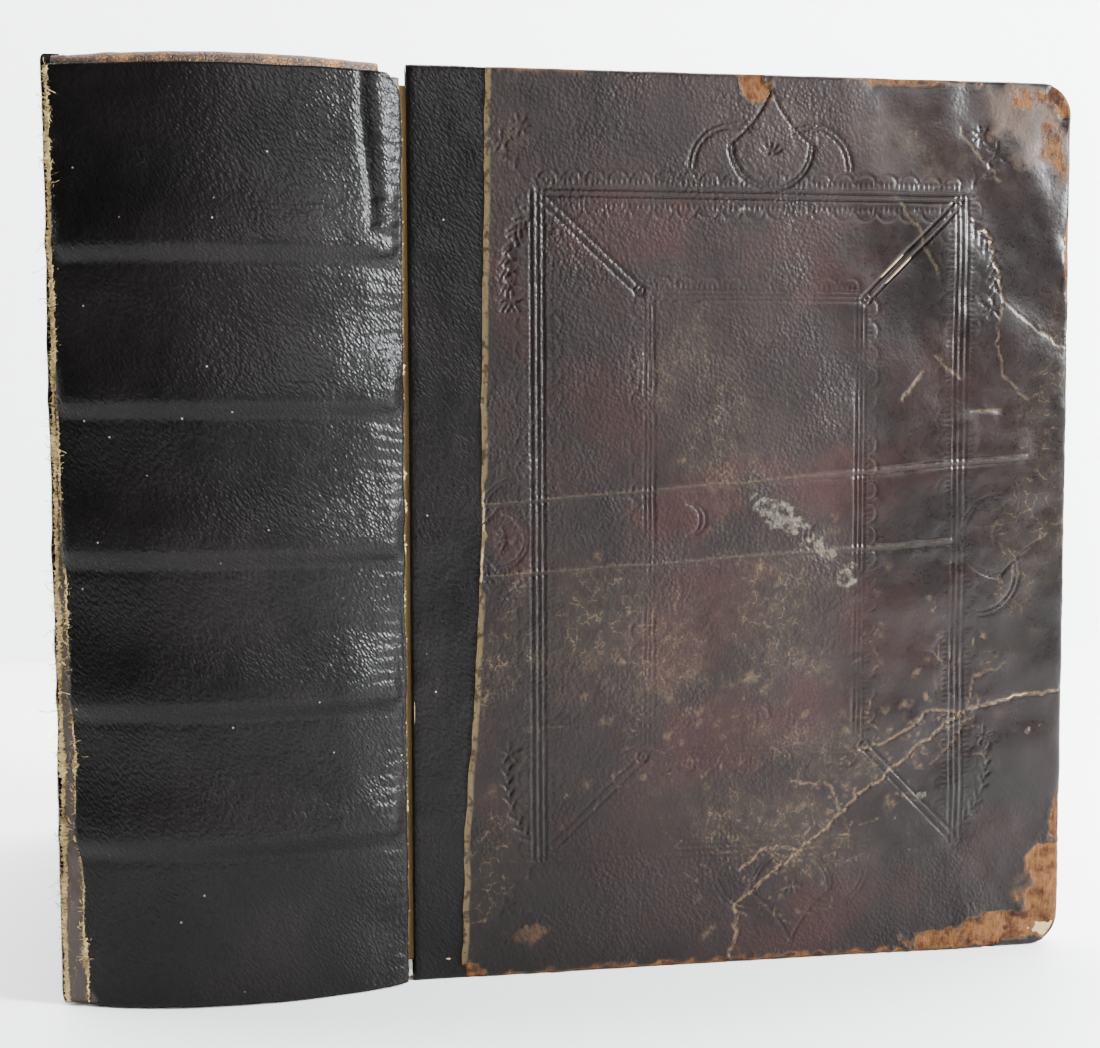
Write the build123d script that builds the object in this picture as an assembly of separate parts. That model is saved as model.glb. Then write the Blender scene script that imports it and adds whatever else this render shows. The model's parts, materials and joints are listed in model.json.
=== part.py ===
from build123d import *
import math
import os

# A thick leather-bound prayer book, standing on its tail with the front board opened square to the
# text block.  Units are millimetres.  While it is built the spine is centred on x = 0 and faces -Y, the
# leaves run away towards +Y and the tail rests on z = 0; at the end every solid is moved so that the
# origin is the centre of the whole book's footprint.
#
# The spine is a shallow round: an arc about a vertical axis well inside the leaves.  The two boards are
# built closed, each against its side of the text block, in their hinge's own frame.

# ---- Driving dimensions ----
BOARD_HEIGHT = 250.0            # head to tail
BOARD_WIDTH = 190.0             # hinge edge to fore-edge
CORE_THICKNESS = 4.4            # pasteboard
LEATHER = 0.8                   # covering leather, outer face and edges
TURN_IN = 0.5                   # pared leather turned over the inner face
PASTEDOWN = 0.3                 # paper lining of the inner face
TURN_IN_WIDTH = 16.0
CORNER_RADIUS = 9.0             # worn fore-edge corners
EDGE_ROUNDING = 1.2
SQUARE = 4.0                    # how far a board stands out past the leaves
SPINE_WIDTH = 92.0              # over both shoulders
SPINE_RISE = 10.0               # how far the round of the spine stands out
SPINE_LEATHER = 1.2
LINING = 0.8
BAND_HEIGHTS = (45.5, 82.0, 122.0, 161.0, 201.5)   # sewing cords, above the tail
CORD_RADIUS = 1.3
BAND_RISE = CORD_RADIUS * 2 - 0.75
BAND_HALF_WIDTH = 6.0
BAND_END = 1.6                  # degrees short of the shoulder where the bands fade out
GATHERINGS = 24
FRONT_LEAVES = 4                # loose leaves behind the free endpaper
REAR_LEAVES = 2
LEAF_THICKNESS = 0.35
LEAF_PITCH = 0.7
REST_OPENING = 90.0             # the front board's angle from closed
REAR_SLACK = 1.5                # the worn rear board stands off the leaves by this much
LEAF_SHARE = (0.50, 0.35, 0.24, 0.15, 0.07)        # of the board's angle, from the endpaper inwards
LEAF_START = 0.5                # from a leaf's pivot to its near edge
SHOULDER_CLEAR = 0.1            # between the folded-over shoulder and the spine lining

# ---- Worked out from them ----
BOARD_TOTAL = LEATHER + CORE_THICKNESS + TURN_IN + PASTEDOWN
HALF_SPINE = SPINE_WIDTH / 2
ROUND_OUTER = (HALF_SPINE ** 2 + SPINE_RISE ** 2) / (2 * SPINE_RISE)   # outer face of the spine leather
ROUND_Y = ROUND_OUTER - SPINE_RISE                                     # where the round's axis stands
ROUND_LEATHER = ROUND_OUTER - SPINE_LEATHER                            # inner face of the spine leather
ROUND_FOLDS = ROUND_LEATHER - LINING                                   # the folds of the gatherings
HALF_ANGLE = math.degrees(math.asin(HALF_SPINE / ROUND_OUTER))

HINGE_Y = 1.6
HINGE_GAP = 0.2                 # from the hinge line to the board's outer face
BOARD_START = 1.0               # from the hinge line to the board's spine edge
FRONT_HINGE_X = HALF_SPINE + HINGE_GAP
REAR_HINGE_X = -(HALF_SPINE + REAR_SLACK + HINGE_GAP)
FORE_EDGE = HINGE_Y + BOARD_START + BOARD_WIDTH

TEXT_HEIGHT = BOARD_HEIGHT - 2 * SQUARE
TEXT_FORE = FORE_EDGE - SQUARE                  # fore-edge at the sides of the text block
BOARD_INNER = HALF_SPINE - BOARD_TOTAL          # inner face of a tightly closed board
FRONT_STACK = BOARD_INNER - 0.4                 # middle of the front free endpaper
REAR_STACK = -(BOARD_INNER - 0.2)               # middle of the rear free endpaper
BLOCK_FRONT = FRONT_STACK - FRONT_LEAVES * LEAF_PITCH - 0.8
BLOCK_REAR = REAR_STACK + REAR_LEAVES * LEAF_PITCH + 0.4
SHOULDER_TOP = HINGE_Y + 0.7
LEAF_PIVOT_Y = SHOULDER_TOP + 0.9
FOLD_NOSE = 0.7                 # how far each gathering's rounded fold stands out

# What the whole book spans at rest; the origin is the centre of its footprint.
LEFT = REAR_HINGE_X + HINGE_GAP
RIGHT = FRONT_HINGE_X + BOARD_START + BOARD_WIDTH
NEAR = ROUND_Y - ROUND_OUTER - BAND_RISE
FAR = FORE_EDGE
ORIGIN = Pos(-(LEFT + RIGHT) / 2, -(NEAR + FAR) / 2, 0)


def save(shape, node):
    """Writes one node, in the book's own frame."""
    placed = ORIGIN * shape
    placed.label = node
    export_step(placed, f"parts/{node}.step")


def group(solids):
    return Compound(children=list(solids))


def span(x, y, z):
    """A box from three (low, high) pairs."""
    size = [high - low for low, high in (x, y, z)]
    middle = [(high + low) / 2 for low, high in (x, y, z)]
    return Pos(*middle) * Box(*size)


def around_spine(profile, start, end):
    """Turns a face drawn as (radius, height) about the spine's axis, from one angle to another.
    Angles are in degrees from straight out of the spine, positive towards the front board."""
    turned = revolve(Plane.XZ * profile, axis=Axis.Z, revolution_arc=end - start)
    return Pos(0, ROUND_Y, 0) * (Rot(0, 0, start - 90) * turned)


def fold_line(x, radius=ROUND_FOLDS):
    """How far along Y the round lies at x."""
    return ROUND_Y - math.sqrt(radius ** 2 - x ** 2)


def fore_line(x):
    """The hollow fore-edge repeats the round of the folds."""
    return TEXT_FORE + fold_line(x) - fold_line(BLOCK_FRONT)


# ---- Text block ----
def gathering(x0, x1):
    """A folded gathering: a slab with a rounded fold at the spine."""
    middle = (x0 + x1) / 2
    near0 = (x0, fold_line(x0) + FOLD_NOSE)
    near1 = (x1, fold_line(x1) + FOLD_NOSE)
    outline = [
        ThreePointArc(near0, (middle, fold_line(middle)), near1),
        Line(near1, (x1, fore_line(x1))),
        Line((x1, fore_line(x1)), (x0, fore_line(x0))),
        Line((x0, fore_line(x0)), near0),
    ]
    return Pos(0, 0, SQUARE) * extrude(make_face(outline), TEXT_HEIGHT)


def shoulder(side, edge):
    """The outermost gathering's folds, beaten over towards the board."""
    tip = HALF_SPINE - 1.4
    middle = (abs(edge) + tip) / 2
    radius = ROUND_FOLDS - SHOULDER_CLEAR
    low = (side * abs(edge), fold_line(edge, radius))
    crown = (side * middle, fold_line(middle, radius))
    end = (side * tip, fold_line(tip, radius))
    outline = [
        ThreePointArc(low, crown, end),
        Line(end, (side * (tip - 0.3), SHOULDER_TOP)),
        Line((side * (tip - 0.3), SHOULDER_TOP), (side * abs(edge), SHOULDER_TOP)),
        Line((side * abs(edge), SHOULDER_TOP), low),
    ]
    return Pos(0, 0, SQUARE) * extrude(make_face(outline), TEXT_HEIGHT)


def make_text_block():
    pitch = (BLOCK_FRONT - BLOCK_REAR) / GATHERINGS
    for number in range(GATHERINGS):
        x0 = BLOCK_REAR + number * pitch
        solid = gathering(x0, x0 + pitch)
        if number == 0:
            solid = solid + shoulder(-1, BLOCK_REAR)
        if number == GATHERINGS - 1:
            solid = solid + shoulder(1, BLOCK_FRONT)
        save(solid, f"gathering_{number + 1:02d}")


# ---- What holds the gatherings together ----
def make_sewing():
    reach = HALF_ANGLE - BAND_END - 0.4
    for number, height in enumerate(BAND_HEIGHTS, start=1):
        section = Pos(ROUND_FOLDS + CORD_RADIUS, height) * Circle(CORD_RADIUS)
        save(around_spine(section, -reach, reach), f"sewing_cord_{number}")
    thread = 0.35
    stitches = []
    for height in (SQUARE + 10, BOARD_HEIGHT - SQUARE - 10):
        section = Pos(ROUND_FOLDS + thread, height) * Circle(thread)
        stitches.append(around_spine(section, -reach + 2, reach - 2))
    save(group(stitches), "kettle_stitches")


def make_lining():
    """A paper panel between each pair of bands, clear of the kettle stitches."""
    kettle_clear = 0.6
    band_clear = 3.5
    stops = [SQUARE + 3, SQUARE + 10]
    stops += list(BAND_HEIGHTS)
    stops += [BOARD_HEIGHT - SQUARE - 10, BOARD_HEIGHT - SQUARE - 3]
    clears = [0, kettle_clear] + [band_clear] * len(BAND_HEIGHTS) + [kettle_clear, 0]
    panels = []
    for index in range(len(stops) - 1):
        low = stops[index] + clears[index]
        high = stops[index + 1] - clears[index + 1]
        section = Pos(ROUND_FOLDS + LINING / 2, (low + high) / 2) * Rectangle(LINING, high - low)
        panels.append(around_spine(section, -HALF_ANGLE + 0.5, HALF_ANGLE - 0.5))
    save(group(panels), "spine_lining")


def endband(height):
    """A silk-wrapped core along one end of the folds."""
    radius = 1.2
    section = Pos(ROUND_FOLDS - 1.5, height) * Circle(radius)
    return around_spine(section, -HALF_ANGLE + 4, HALF_ANGLE - 4)


def cap(upright):
    """A leather cap curled over an endband: a wall outside it and a lip inside it.
    upright is 1 at the head and -1 at the tail."""
    edge = BOARD_HEIGHT / 2 - 0.15
    wall = 0.7
    outer = ROUND_LEATHER - 0.05
    lip = outer - 4.3
    root = edge - 5.2
    bend = edge - 0.9
    under = edge - 1.1
    wall_points = [
        (outer, upright * root),
        (outer, upright * bend),
        (outer - 0.9, upright * edge),
        (outer - 1.3, upright * edge),
        (outer - 1.3, upright * under),
        (outer - wall, upright * under),
        (outer - wall, upright * root),
    ]
    lip_points = [
        (outer - 1.3, upright * under),
        (outer - 1.3, upright * edge),
        (lip + 0.9, upright * edge),
        (lip, upright * bend),
        (lip, upright * (edge - 2.0)),
        (lip + 0.6, upright * (edge - 2.0)),
        (lip + 0.7, upright * under),
    ]
    middle = Pos(0, BOARD_HEIGHT / 2)
    front_end = HALF_ANGLE - 3.2
    wall_part = around_spine(middle * make_face(Polyline(*wall_points, close=True)),
                             -HALF_ANGLE + 0.6, front_end)
    lip_part = around_spine(middle * make_face(Polyline(*lip_points, close=True)),
                            -HALF_ANGLE + 2.1, front_end)
    return wall_part + lip_part


def make_ends():
    middle = BOARD_HEIGHT / 2
    reach = TEXT_HEIGHT / 2 + 1.25
    save(endband(middle + reach), "headband")
    save(endband(middle - reach), "tailband")
    save(cap(1), "headcap")
    save(cap(-1), "tailcap")


def make_spine_leather():
    """One hide over the folds, raised over each cord except at the shoulders."""
    foot = 0.3
    top = BOARD_HEIGHT - 2.6
    height = top - foot
    middle = Pos((ROUND_OUTER + ROUND_LEATHER) / 2, (foot + top) / 2)
    hide = around_spine(middle * Rectangle(SPINE_LEATHER, height), -HALF_ANGLE, HALF_ANGLE)
    reach = HALF_ANGLE - BAND_END
    for band in BAND_HEIGHTS:
        hide = hide + around_spine(band_section(ROUND_OUTER, band, BAND_HALF_WIDTH), -reach, reach)
    for band in BAND_HEIGHTS:
        hollow = band_section(ROUND_LEATHER, band, BAND_HALF_WIDTH - 2.6)
        hide = hide - around_spine(hollow, -reach + 0.1, reach - 0.1)
    save(hide, "spine_leather")


def band_section(radius, height, half_width):
    """The swelling of the leather over a cord, drawn from just inside a radius."""
    flat = half_width / 4
    slope = half_width * 0.62
    root = radius - 0.1
    return make_face(Polyline(
        (root, height - half_width),
        (radius, height - half_width),
        (radius + BAND_RISE * 0.72, height - slope + flat),
        (radius + BAND_RISE, height - flat),
        (radius + BAND_RISE, height + flat),
        (radius + BAND_RISE * 0.72, height + slope - flat),
        (radius, height + half_width),
        (root, height + half_width),
        close=True,
    ))


# ---- Boards, closed, with the hinge line at x = 0, y = 0 and the outer face towards +X ----
OUTER = -HINGE_GAP
CORE_OUT = OUTER - LEATHER
CORE_IN = CORE_OUT - CORE_THICKNESS
TURN_IN_FACE = CORE_IN - TURN_IN
INNER = TURN_IN_FACE - PASTEDOWN
SPINE_EDGE = BOARD_START
FORE = BOARD_START + BOARD_WIDTH
SLIP_LENGTH = 19.0
SLIP_WIDTH = 5.0
SLIP_DEPTH = 0.9


def board_slab(x_low, x_high, inset, corner):
    """A board-shaped slab, set in by inset on every edge, round at its two fore-edge corners."""
    width = BOARD_WIDTH - 2 * inset
    height = BOARD_HEIGHT - 2 * inset
    outline = Rectangle(width, height)
    outline = fillet(outline.vertices().group_by(Axis.X)[-1], corner)
    face = Plane.YZ * (Pos(SPINE_EDGE + BOARD_WIDTH / 2, BOARD_HEIGHT / 2) * outline)
    return Pos(x_low, 0, 0) * extrude(face, x_high - x_low)


def soften(slab, outer_radius, inner_radius):
    """Rounds the head, fore and tail edges of a slab; the spine edge stays square."""
    middle = SPINE_EDGE + BOARD_WIDTH / 2 - BOARD_WIDTH / 4
    for index, radius in ((-1, outer_radius), (0, inner_radius)):
        edges = slab.faces().sort_by(Axis.X)[index].edges()
        kept = [edge for edge in edges if edge.center().Y > middle]
        slab = fillet(kept, radius)
    return slab


def strip_region():
    """The part of a board that the black spine leather laps onto; its edge wanders."""
    over = 5.0
    edge = Spline(
        (SPINE_EDGE + 13.3, -over),
        (SPINE_EDGE + 14.3, 40),
        (SPINE_EDGE + 17.6, 82),
        (SPINE_EDGE + 19.6, 122),
        (SPINE_EDGE + 19.8, 170),
        (SPINE_EDGE + 21.4, BOARD_HEIGHT + over),
    )
    back = SPINE_EDGE - over
    outline = [
        edge,
        Line(edge @ 1, (back, BOARD_HEIGHT + over)),
        Line((back, BOARD_HEIGHT + over), (back, -over)),
        Line((back, -over), edge @ 0),
    ]
    return Pos(INNER - 1, 0, 0) * extrude(Plane.YZ * make_face(outline), BOARD_TOTAL + 2)


def cord_slips():
    """The ends of the sewing cords, frayed flat and laced into the board's outer face."""
    y = (SPINE_EDGE + LEATHER, SPINE_EDGE + SLIP_LENGTH)
    x = (CORE_OUT - SLIP_DEPTH, CORE_OUT)
    return [span(x, y, (h - SLIP_WIDTH / 2, h + SLIP_WIDTH / 2)) for h in BAND_HEIGHTS]


def board_pieces():
    """Every piece of one board, by name."""
    hide = soften(board_slab(TURN_IN_FACE, OUTER, 0, CORNER_RADIUS), EDGE_ROUNDING, LEATHER)
    core = soften(board_slab(CORE_IN, CORE_OUT, LEATHER, CORNER_RADIUS - LEATHER), 0.6, 0.4)
    window_y = (SPINE_EDGE - 1, FORE - TURN_IN_WIDTH)
    window_z = (TURN_IN_WIDTH, BOARD_HEIGHT - TURN_IN_WIDTH)
    bare_edge = span((TURN_IN_FACE - 1, CORE_OUT), (SPINE_EDGE - 1, SPINE_EDGE + LEATHER),
                     (LEATHER, BOARD_HEIGHT - LEATHER))
    shell = hide - core - span((TURN_IN_FACE - 1, CORE_IN), window_y, window_z) - bare_edge
    region = strip_region()
    slips = cord_slips()
    for slip in slips:
        core = core - slip
    sheet = span((INNER, TURN_IN_FACE), (SPINE_EDGE + LEATHER, FORE - SQUARE),
                 (SQUARE, BOARD_HEIGHT - SQUARE))
    pad = span((TURN_IN_FACE, CORE_IN), (SPINE_EDGE + LEATHER, window_y[1]), window_z)
    return {
        "board_core": core,
        "cover_leather": shell - region,
        "joint_strip": shell & region,
        "pastedown": sheet + pad,
        "cord_slips": group(slips),
    }


def opened(shape, x, y, angle):
    """Turns a shape about the upright line at x, y, towards the front of the book."""
    return Pos(x, y, 0) * (Rot(0, 0, -angle) * (Pos(-x, -y, 0) * shape))


def make_boards():
    for name, solid in board_pieces().items():
        front = Pos(FRONT_HINGE_X, HINGE_Y, 0) * solid
        save(opened(front, FRONT_HINGE_X, HINGE_Y, REST_OPENING), f"front_{name}")
        rear = Pos(REAR_HINGE_X, HINGE_Y, 0) * mirror(solid, about=Plane.YZ)
        save(rear, f"rear_{name}")


# ---- Loose leaves: each turns about its own fold ----
def leaf(x):
    half = LEAF_THICKNESS / 2
    return span((x - half, x + half), (LEAF_PIVOT_Y + LEAF_START, TEXT_FORE - 0.5),
                (SQUARE + 0.5, BOARD_HEIGHT - SQUARE - 0.5))


def guard(x):
    """The stub left at the sewing, which a loose leaf turns from."""
    half = LEAF_THICKNESS / 2
    return span((x - half, x + half), (SHOULDER_TOP, LEAF_PIVOT_Y - 0.25),
                (SQUARE + 0.5, BOARD_HEIGHT - SQUARE - 0.5))


def make_leaves():
    front_names = ["front_free_endpaper"] + [f"front_leaf_{n + 1}" for n in range(FRONT_LEAVES)]
    guards = []
    for number, name in enumerate(front_names):
        x = FRONT_STACK - number * LEAF_PITCH
        save(opened(leaf(x), x, LEAF_PIVOT_Y, LEAF_SHARE[number] * REST_OPENING), name)
        guards.append(guard(x))
    save(group(guards), "front_leaf_guards")
    rear_names = ["rear_free_endpaper"] + [f"rear_leaf_{n + 1}" for n in range(REAR_LEAVES)]
    guards = []
    for number, name in enumerate(rear_names):
        x = REAR_STACK + number * LEAF_PITCH
        save(leaf(x), name)
        guards.append(guard(x))
    save(group(guards), "rear_leaf_guards")


# ---- Inner joints: a fold of endpaper from the shoulder to the board ----
def make_inner_joints():
    thick = 0.25
    low, high = SQUARE + 1, BOARD_HEIGHT - SQUARE - 1
    board_x = FRONT_HINGE_X + BOARD_START + 0.3
    board_y = HINGE_Y - INNER + 0.15
    shoulder_x = FRONT_STACK + 1.2
    start = (shoulder_x, SHOULDER_TOP + 0.15)
    route = [start, (shoulder_x + 2.3, SHOULDER_TOP + 2.4), (board_x, board_y)]
    centre = ThreePointArc(*route)
    face = make_face([
        centre,
        Line(centre @ 1, centre @ 1 + Vector(0, thick)),
        ThreePointArc(*[(x, y + thick) for x, y in reversed(route)]),
        Line(centre @ 0 + Vector(0, thick), centre @ 0),
    ])
    save(Pos(0, 0, low) * extrude(face, high - low), "front_inner_joint")
    rear_board = REAR_HINGE_X - INNER
    rear_edge = HINGE_Y + BOARD_START + LEATHER
    fold = span((rear_board + 0.05, rear_board + 0.05 + thick),
                (SHOULDER_TOP + 0.05, rear_edge + 2), (low, high))
    save(fold, "rear_inner_joint")


def main():
    os.makedirs("parts", exist_ok=True)
    make_text_block()
    make_sewing()
    make_lining()
    make_ends()
    make_spine_leather()
    make_boards()
    make_leaves()
    make_inner_joints()


main()
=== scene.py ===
import functools
import json
import math

import bmesh
import bpy
import numpy as np
from mathutils import Matrix, Vector


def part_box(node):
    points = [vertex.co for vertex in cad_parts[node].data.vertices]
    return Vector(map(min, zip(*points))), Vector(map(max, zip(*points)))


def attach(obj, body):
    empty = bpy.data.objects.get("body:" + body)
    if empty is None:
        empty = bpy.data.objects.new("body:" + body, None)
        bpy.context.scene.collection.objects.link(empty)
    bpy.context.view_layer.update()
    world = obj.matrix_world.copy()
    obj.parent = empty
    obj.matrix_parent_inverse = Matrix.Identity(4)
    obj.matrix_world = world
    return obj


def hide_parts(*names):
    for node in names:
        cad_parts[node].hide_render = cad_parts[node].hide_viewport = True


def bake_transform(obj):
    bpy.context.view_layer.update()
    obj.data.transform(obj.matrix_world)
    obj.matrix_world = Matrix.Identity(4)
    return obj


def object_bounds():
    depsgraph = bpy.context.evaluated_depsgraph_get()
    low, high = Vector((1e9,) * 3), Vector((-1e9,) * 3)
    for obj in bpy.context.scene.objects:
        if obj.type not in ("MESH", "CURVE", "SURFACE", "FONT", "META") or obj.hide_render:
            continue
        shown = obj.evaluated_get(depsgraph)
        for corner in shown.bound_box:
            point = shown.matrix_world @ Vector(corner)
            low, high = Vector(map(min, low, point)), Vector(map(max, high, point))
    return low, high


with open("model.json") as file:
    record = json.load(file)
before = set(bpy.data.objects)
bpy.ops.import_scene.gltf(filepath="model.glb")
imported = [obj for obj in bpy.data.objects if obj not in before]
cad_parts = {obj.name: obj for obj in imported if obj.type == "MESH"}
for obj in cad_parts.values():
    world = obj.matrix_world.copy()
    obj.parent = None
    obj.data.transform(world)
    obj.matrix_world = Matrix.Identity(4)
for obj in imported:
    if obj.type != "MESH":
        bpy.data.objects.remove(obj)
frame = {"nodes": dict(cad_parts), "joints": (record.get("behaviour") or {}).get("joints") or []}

# A thick prayer book in old brown calf, rebacked in black goatskin.  Sizes are in millimetres until a
# mesh is written, and places come from the frame's solids.
MM = 0.001
SPINE_RISE = 10.0           # how far the round of the spine stands out
BAND_RISE = 1.85            # how far the raised bands stand out
LEAF_GAP = 0.7              # from one loose leaf's fold to the next
SQUARE = 4.0                # how far the boards stand out past the leaves

cad_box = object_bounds()


def box_mm(node):
    low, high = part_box(node)
    return np.array(low) / MM, np.array(high) / MM


# ---------------------------------------------------------------- shapes of the frame
spine_low, spine_high = box_mm("spine_leather")
SPINE_X = (spine_low[0] + spine_high[0]) / 2
HALF_SPINE = (spine_high[0] - spine_low[0]) / 2
SPINE_RADIUS = (HALF_SPINE ** 2 + SPINE_RISE ** 2) / (2 * SPINE_RISE)
SPINE_AXIS_Y = spine_low[1] + BAND_RISE + SPINE_RADIUS
HALF_ANGLE = math.asin(HALF_SPINE / SPINE_RADIUS)
SPINE_TOP = spine_high[2]
SPINE_FOOT = spine_low[2]
BAND_HEIGHTS = [np.mean([p[2] for p in box_mm(f"sewing_cord_{n}")]) for n in range(1, 6)]
FOLD_RADIUS = SPINE_RADIUS - 2.0

front_low, front_high = box_mm("front_cover_leather")
strip_low, strip_high = box_mm("front_joint_strip")
rear_low, rear_high = box_mm("rear_cover_leather")
rear_strip_low, rear_strip_high = box_mm("rear_joint_strip")
BOARD_WIDTH = front_high[0] - strip_low[0]
BOARD_HEIGHT = front_high[2] - front_low[2]
SHELL = front_high[1] - front_low[1]


def on_spine(x, radius, z):
    """A place on a round concentric with the spine, from its distance along X from the middle."""
    angle = np.arcsin(np.asarray(x) / SPINE_RADIUS)
    return on_round(angle, radius, z)


def on_round(angle, radius, z):
    x = SPINE_X + radius * np.sin(angle)
    y = SPINE_AXIS_Y - radius * np.cos(angle)
    return np.stack(np.broadcast_arrays(x, y, z), axis=-1)


def front_place(across, up, deep):
    """A place on the front board, from its hinge edge, its tail and its outer face."""
    x = strip_low[0] + across
    y = strip_low[1] + deep
    return np.stack(np.broadcast_arrays(x, y, up), axis=-1)


def rear_place(across, up, deep):
    x = rear_strip_low[0] + deep
    y = rear_strip_low[1] + across
    return np.stack(np.broadcast_arrays(x, y, up), axis=-1)


def heading(turn):
    """A step of length 1 in the direction of an angle in radians."""
    return np.array([math.cos(turn), math.sin(turn)])


def bow(start, middle, end, steps):
    """Places along a curve that leaves start towards middle and comes to end from it."""
    part = np.linspace(0, 1, steps)[:, None]
    return start * (1 - part) ** 2 + middle * 2 * part * (1 - part) + end * part ** 2


def in_frame(point, z):
    """A place in plan, in millimetres, at a height, as a vector in metres."""
    return Vector((point[0], point[1], z)) * MM


def show(name, data):
    """An object for a mesh, curve, camera or light, linked to the scene."""
    piece = bpy.data.objects.new(name, data)
    bpy.context.scene.collection.objects.link(piece)
    return piece


def joint_pivot(name):
    joint = next(j for j in frame["joints"] if j["name"] == name)
    return np.array(joint["pos_m"]) / MM


# ---------------------------------------------------------------- random fields
def patchy(x, y, size, seed):
    """Smooth values from -1 to 1 that change over about size millimetres."""
    table = np.random.default_rng(seed).uniform(-1, 1, (64, 64))
    turn = seed * 0.7
    u = (x * math.cos(turn) + y * math.sin(turn)) / size + 31.7
    v = (y * math.cos(turn) - x * math.sin(turn)) / size + 12.3
    column = np.floor(u).astype(int)
    row = np.floor(v).astype(int)
    fu = u - column
    fv = v - row
    fu = fu * fu * (3 - 2 * fu)
    fv = fv * fv * (3 - 2 * fv)
    below = table[row % 64, column % 64] * (1 - fu) + table[row % 64, (column + 1) % 64] * fu
    above = table[(row + 1) % 64, column % 64] * (1 - fu) + table[(row + 1) % 64, (column + 1) % 64] * fu
    return below * (1 - fv) + above * fv


def crumpled(x, y, size, seed, layers=3):
    """Patchy fields of ever finer size, added up."""
    total = 0
    for layer in range(layers):
        total = total + patchy(x, y, size / 2 ** layer, seed + layer) / 2 ** layer
    return total


def rise(value, low, high):
    """0 below low, 1 above high, smooth between."""
    part = np.clip((value - low) / (high - low), 0, 1)
    return part * part * (3 - 2 * part)


# ---------------------------------------------------------------- a leather face, drawn before it is made
class Face:
    """What a hide shows: layers of marks on a fine grid, across and up, in millimetres."""
    step = 0.15

    def __init__(self, width, height):
        self.shape = (int(height / self.step) + 2, int(width / self.step) + 2)
        self.layers = {}
        rows, columns = self.shape
        self.across = np.arange(columns) * self.step
        self.up = np.arange(rows) * self.step

    def layer(self, name):
        if name not in self.layers:
            self.layers[name] = np.zeros(self.shape, np.float32)
        return self.layers[name]

    def window(self, low, high):
        first = np.maximum(np.floor(np.array(low) / self.step).astype(int), 0)
        last = np.ceil(np.array(high) / self.step).astype(int) + 1
        return slice(first[1], max(last[1], first[1])), slice(first[0], max(last[0], first[0]))

    def stroke(self, name, points, width, strength=1.0):
        """One mark of a tool drawn along a line."""
        layer = self.layer(name)
        points = np.asarray(points, float)
        for start, end in zip(points[:-1], points[1:]):
            low = np.minimum(start, end) - width
            high = np.maximum(start, end) + width
            rows, columns = self.window(low, high)
            x = self.across[columns][None, :]
            y = self.up[rows][:, None]
            if x.size == 0 or y.size == 0:
                continue
            run = end - start
            along = ((x - start[0]) * run[0] + (y - start[1]) * run[1]) / max(run @ run, 1e-9)
            along = np.clip(along, 0, 1)
            far = np.hypot(x - start[0] - along * run[0], y - start[1] - along * run[1])
            mark = np.clip(1 - (far / (width / 2)) ** 2, 0, 1) ** 1.5 * strength
            layer[rows, columns] = np.maximum(layer[rows, columns], mark)

    def blot(self, name, centre, radii, turn=0.0, strength=1.0, ragged=0.3, seed=1):
        """A patch with a soft, uneven edge."""
        layer = self.layer(name)
        reach = max(radii) * 1.6
        centre = np.asarray(centre, float)
        rows, columns = self.window(centre - reach, centre + reach)
        x = self.across[columns][None, :] - centre[0]
        y = self.up[rows][:, None] - centre[1]
        c, s = math.cos(math.radians(turn)), math.sin(math.radians(turn))
        far = np.hypot((x * c + y * s) / radii[0], (y * c - x * s) / radii[1])
        far = far + ragged * crumpled(x + centre[0], y + centre[1], min(radii) * 0.8, seed)
        mark = (1 - rise(far, 0.45, 1.15)) * strength
        layer[rows, columns] = np.maximum(layer[rows, columns], mark)

    def read(self, name, across, up):
        if name not in self.layers:
            return np.zeros(np.shape(across))
        layer = self.layers[name]
        u = np.clip(across / self.step, 0, self.shape[1] - 1.001)
        v = np.clip(up / self.step, 0, self.shape[0] - 1.001)
        column = u.astype(int)
        row = v.astype(int)
        fu = u - column
        fv = v - row
        below = layer[row, column] * (1 - fu) + layer[row, column + 1] * fu
        above = layer[row + 1, column] * (1 - fu) + layer[row + 1, column + 1] * fu
        return below * (1 - fv) + above * fv


# ---------------------------------------------------------------- the finisher's tools
def arc_points(centre, radius, start, end, steps=10):
    angles = np.radians(np.linspace(start, end, steps))
    return np.stack([centre[0] + radius * np.cos(angles), centre[1] + radius * np.sin(angles)], axis=-1)


def press(face, points, width, strength):
    """Presses a blind line, and notes where the leather needs finer modelling."""
    face.stroke("tooled", points, width, strength)
    face.stroke("detail", points, width + 1.8, 1.0)


def straight_line(start, end):
    """Its two ends, its length, its direction and the direction to its left."""
    start = np.asarray(start, float)
    end = np.asarray(end, float)
    length = np.linalg.norm(end - start)
    run = (end - start) / length
    return start, end, length, run, np.array([-run[1], run[0]])


def fillets(face, start, end, offsets, width=0.8, strength=1.0):
    """Parallel lines from one tool."""
    start, end, _, run, side = straight_line(start, end)
    for offset in offsets:
        press(face, [start + side * offset, end + side * offset], width, strength)


def scallops(face, start, end, offset, strength=0.7, pitch=6.4, height=2.4):
    """A row of small bows with their points on a line beside a fillet."""
    start, end, length, run, side = straight_line(start, end)
    side = side * math.copysign(1, offset)
    count = max(int(length / pitch), 1)
    pitch = length / count
    for number in range(count):
        middle = start + run * pitch * (number + 0.5) + side * abs(offset)
        turn = np.linspace(0, math.pi, 9)
        arch = np.outer(np.cos(turn), run) * pitch * 0.44 + np.outer(np.sin(turn), side) * height
        press(face, middle + arch, 0.75, strength)


def dentils(face, start, end, offset, strength=0.5, pitch=1.5, length=1.1):
    """A row of short ticks across a line."""
    start, end, distance, run, side = straight_line(start, end)
    for number in range(int(distance / pitch)):
        foot = start + run * pitch * (number + 0.5) + side * offset
        tip = foot + side * length * math.copysign(1, offset)
        press(face, [foot, tip], 0.7, strength)


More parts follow.
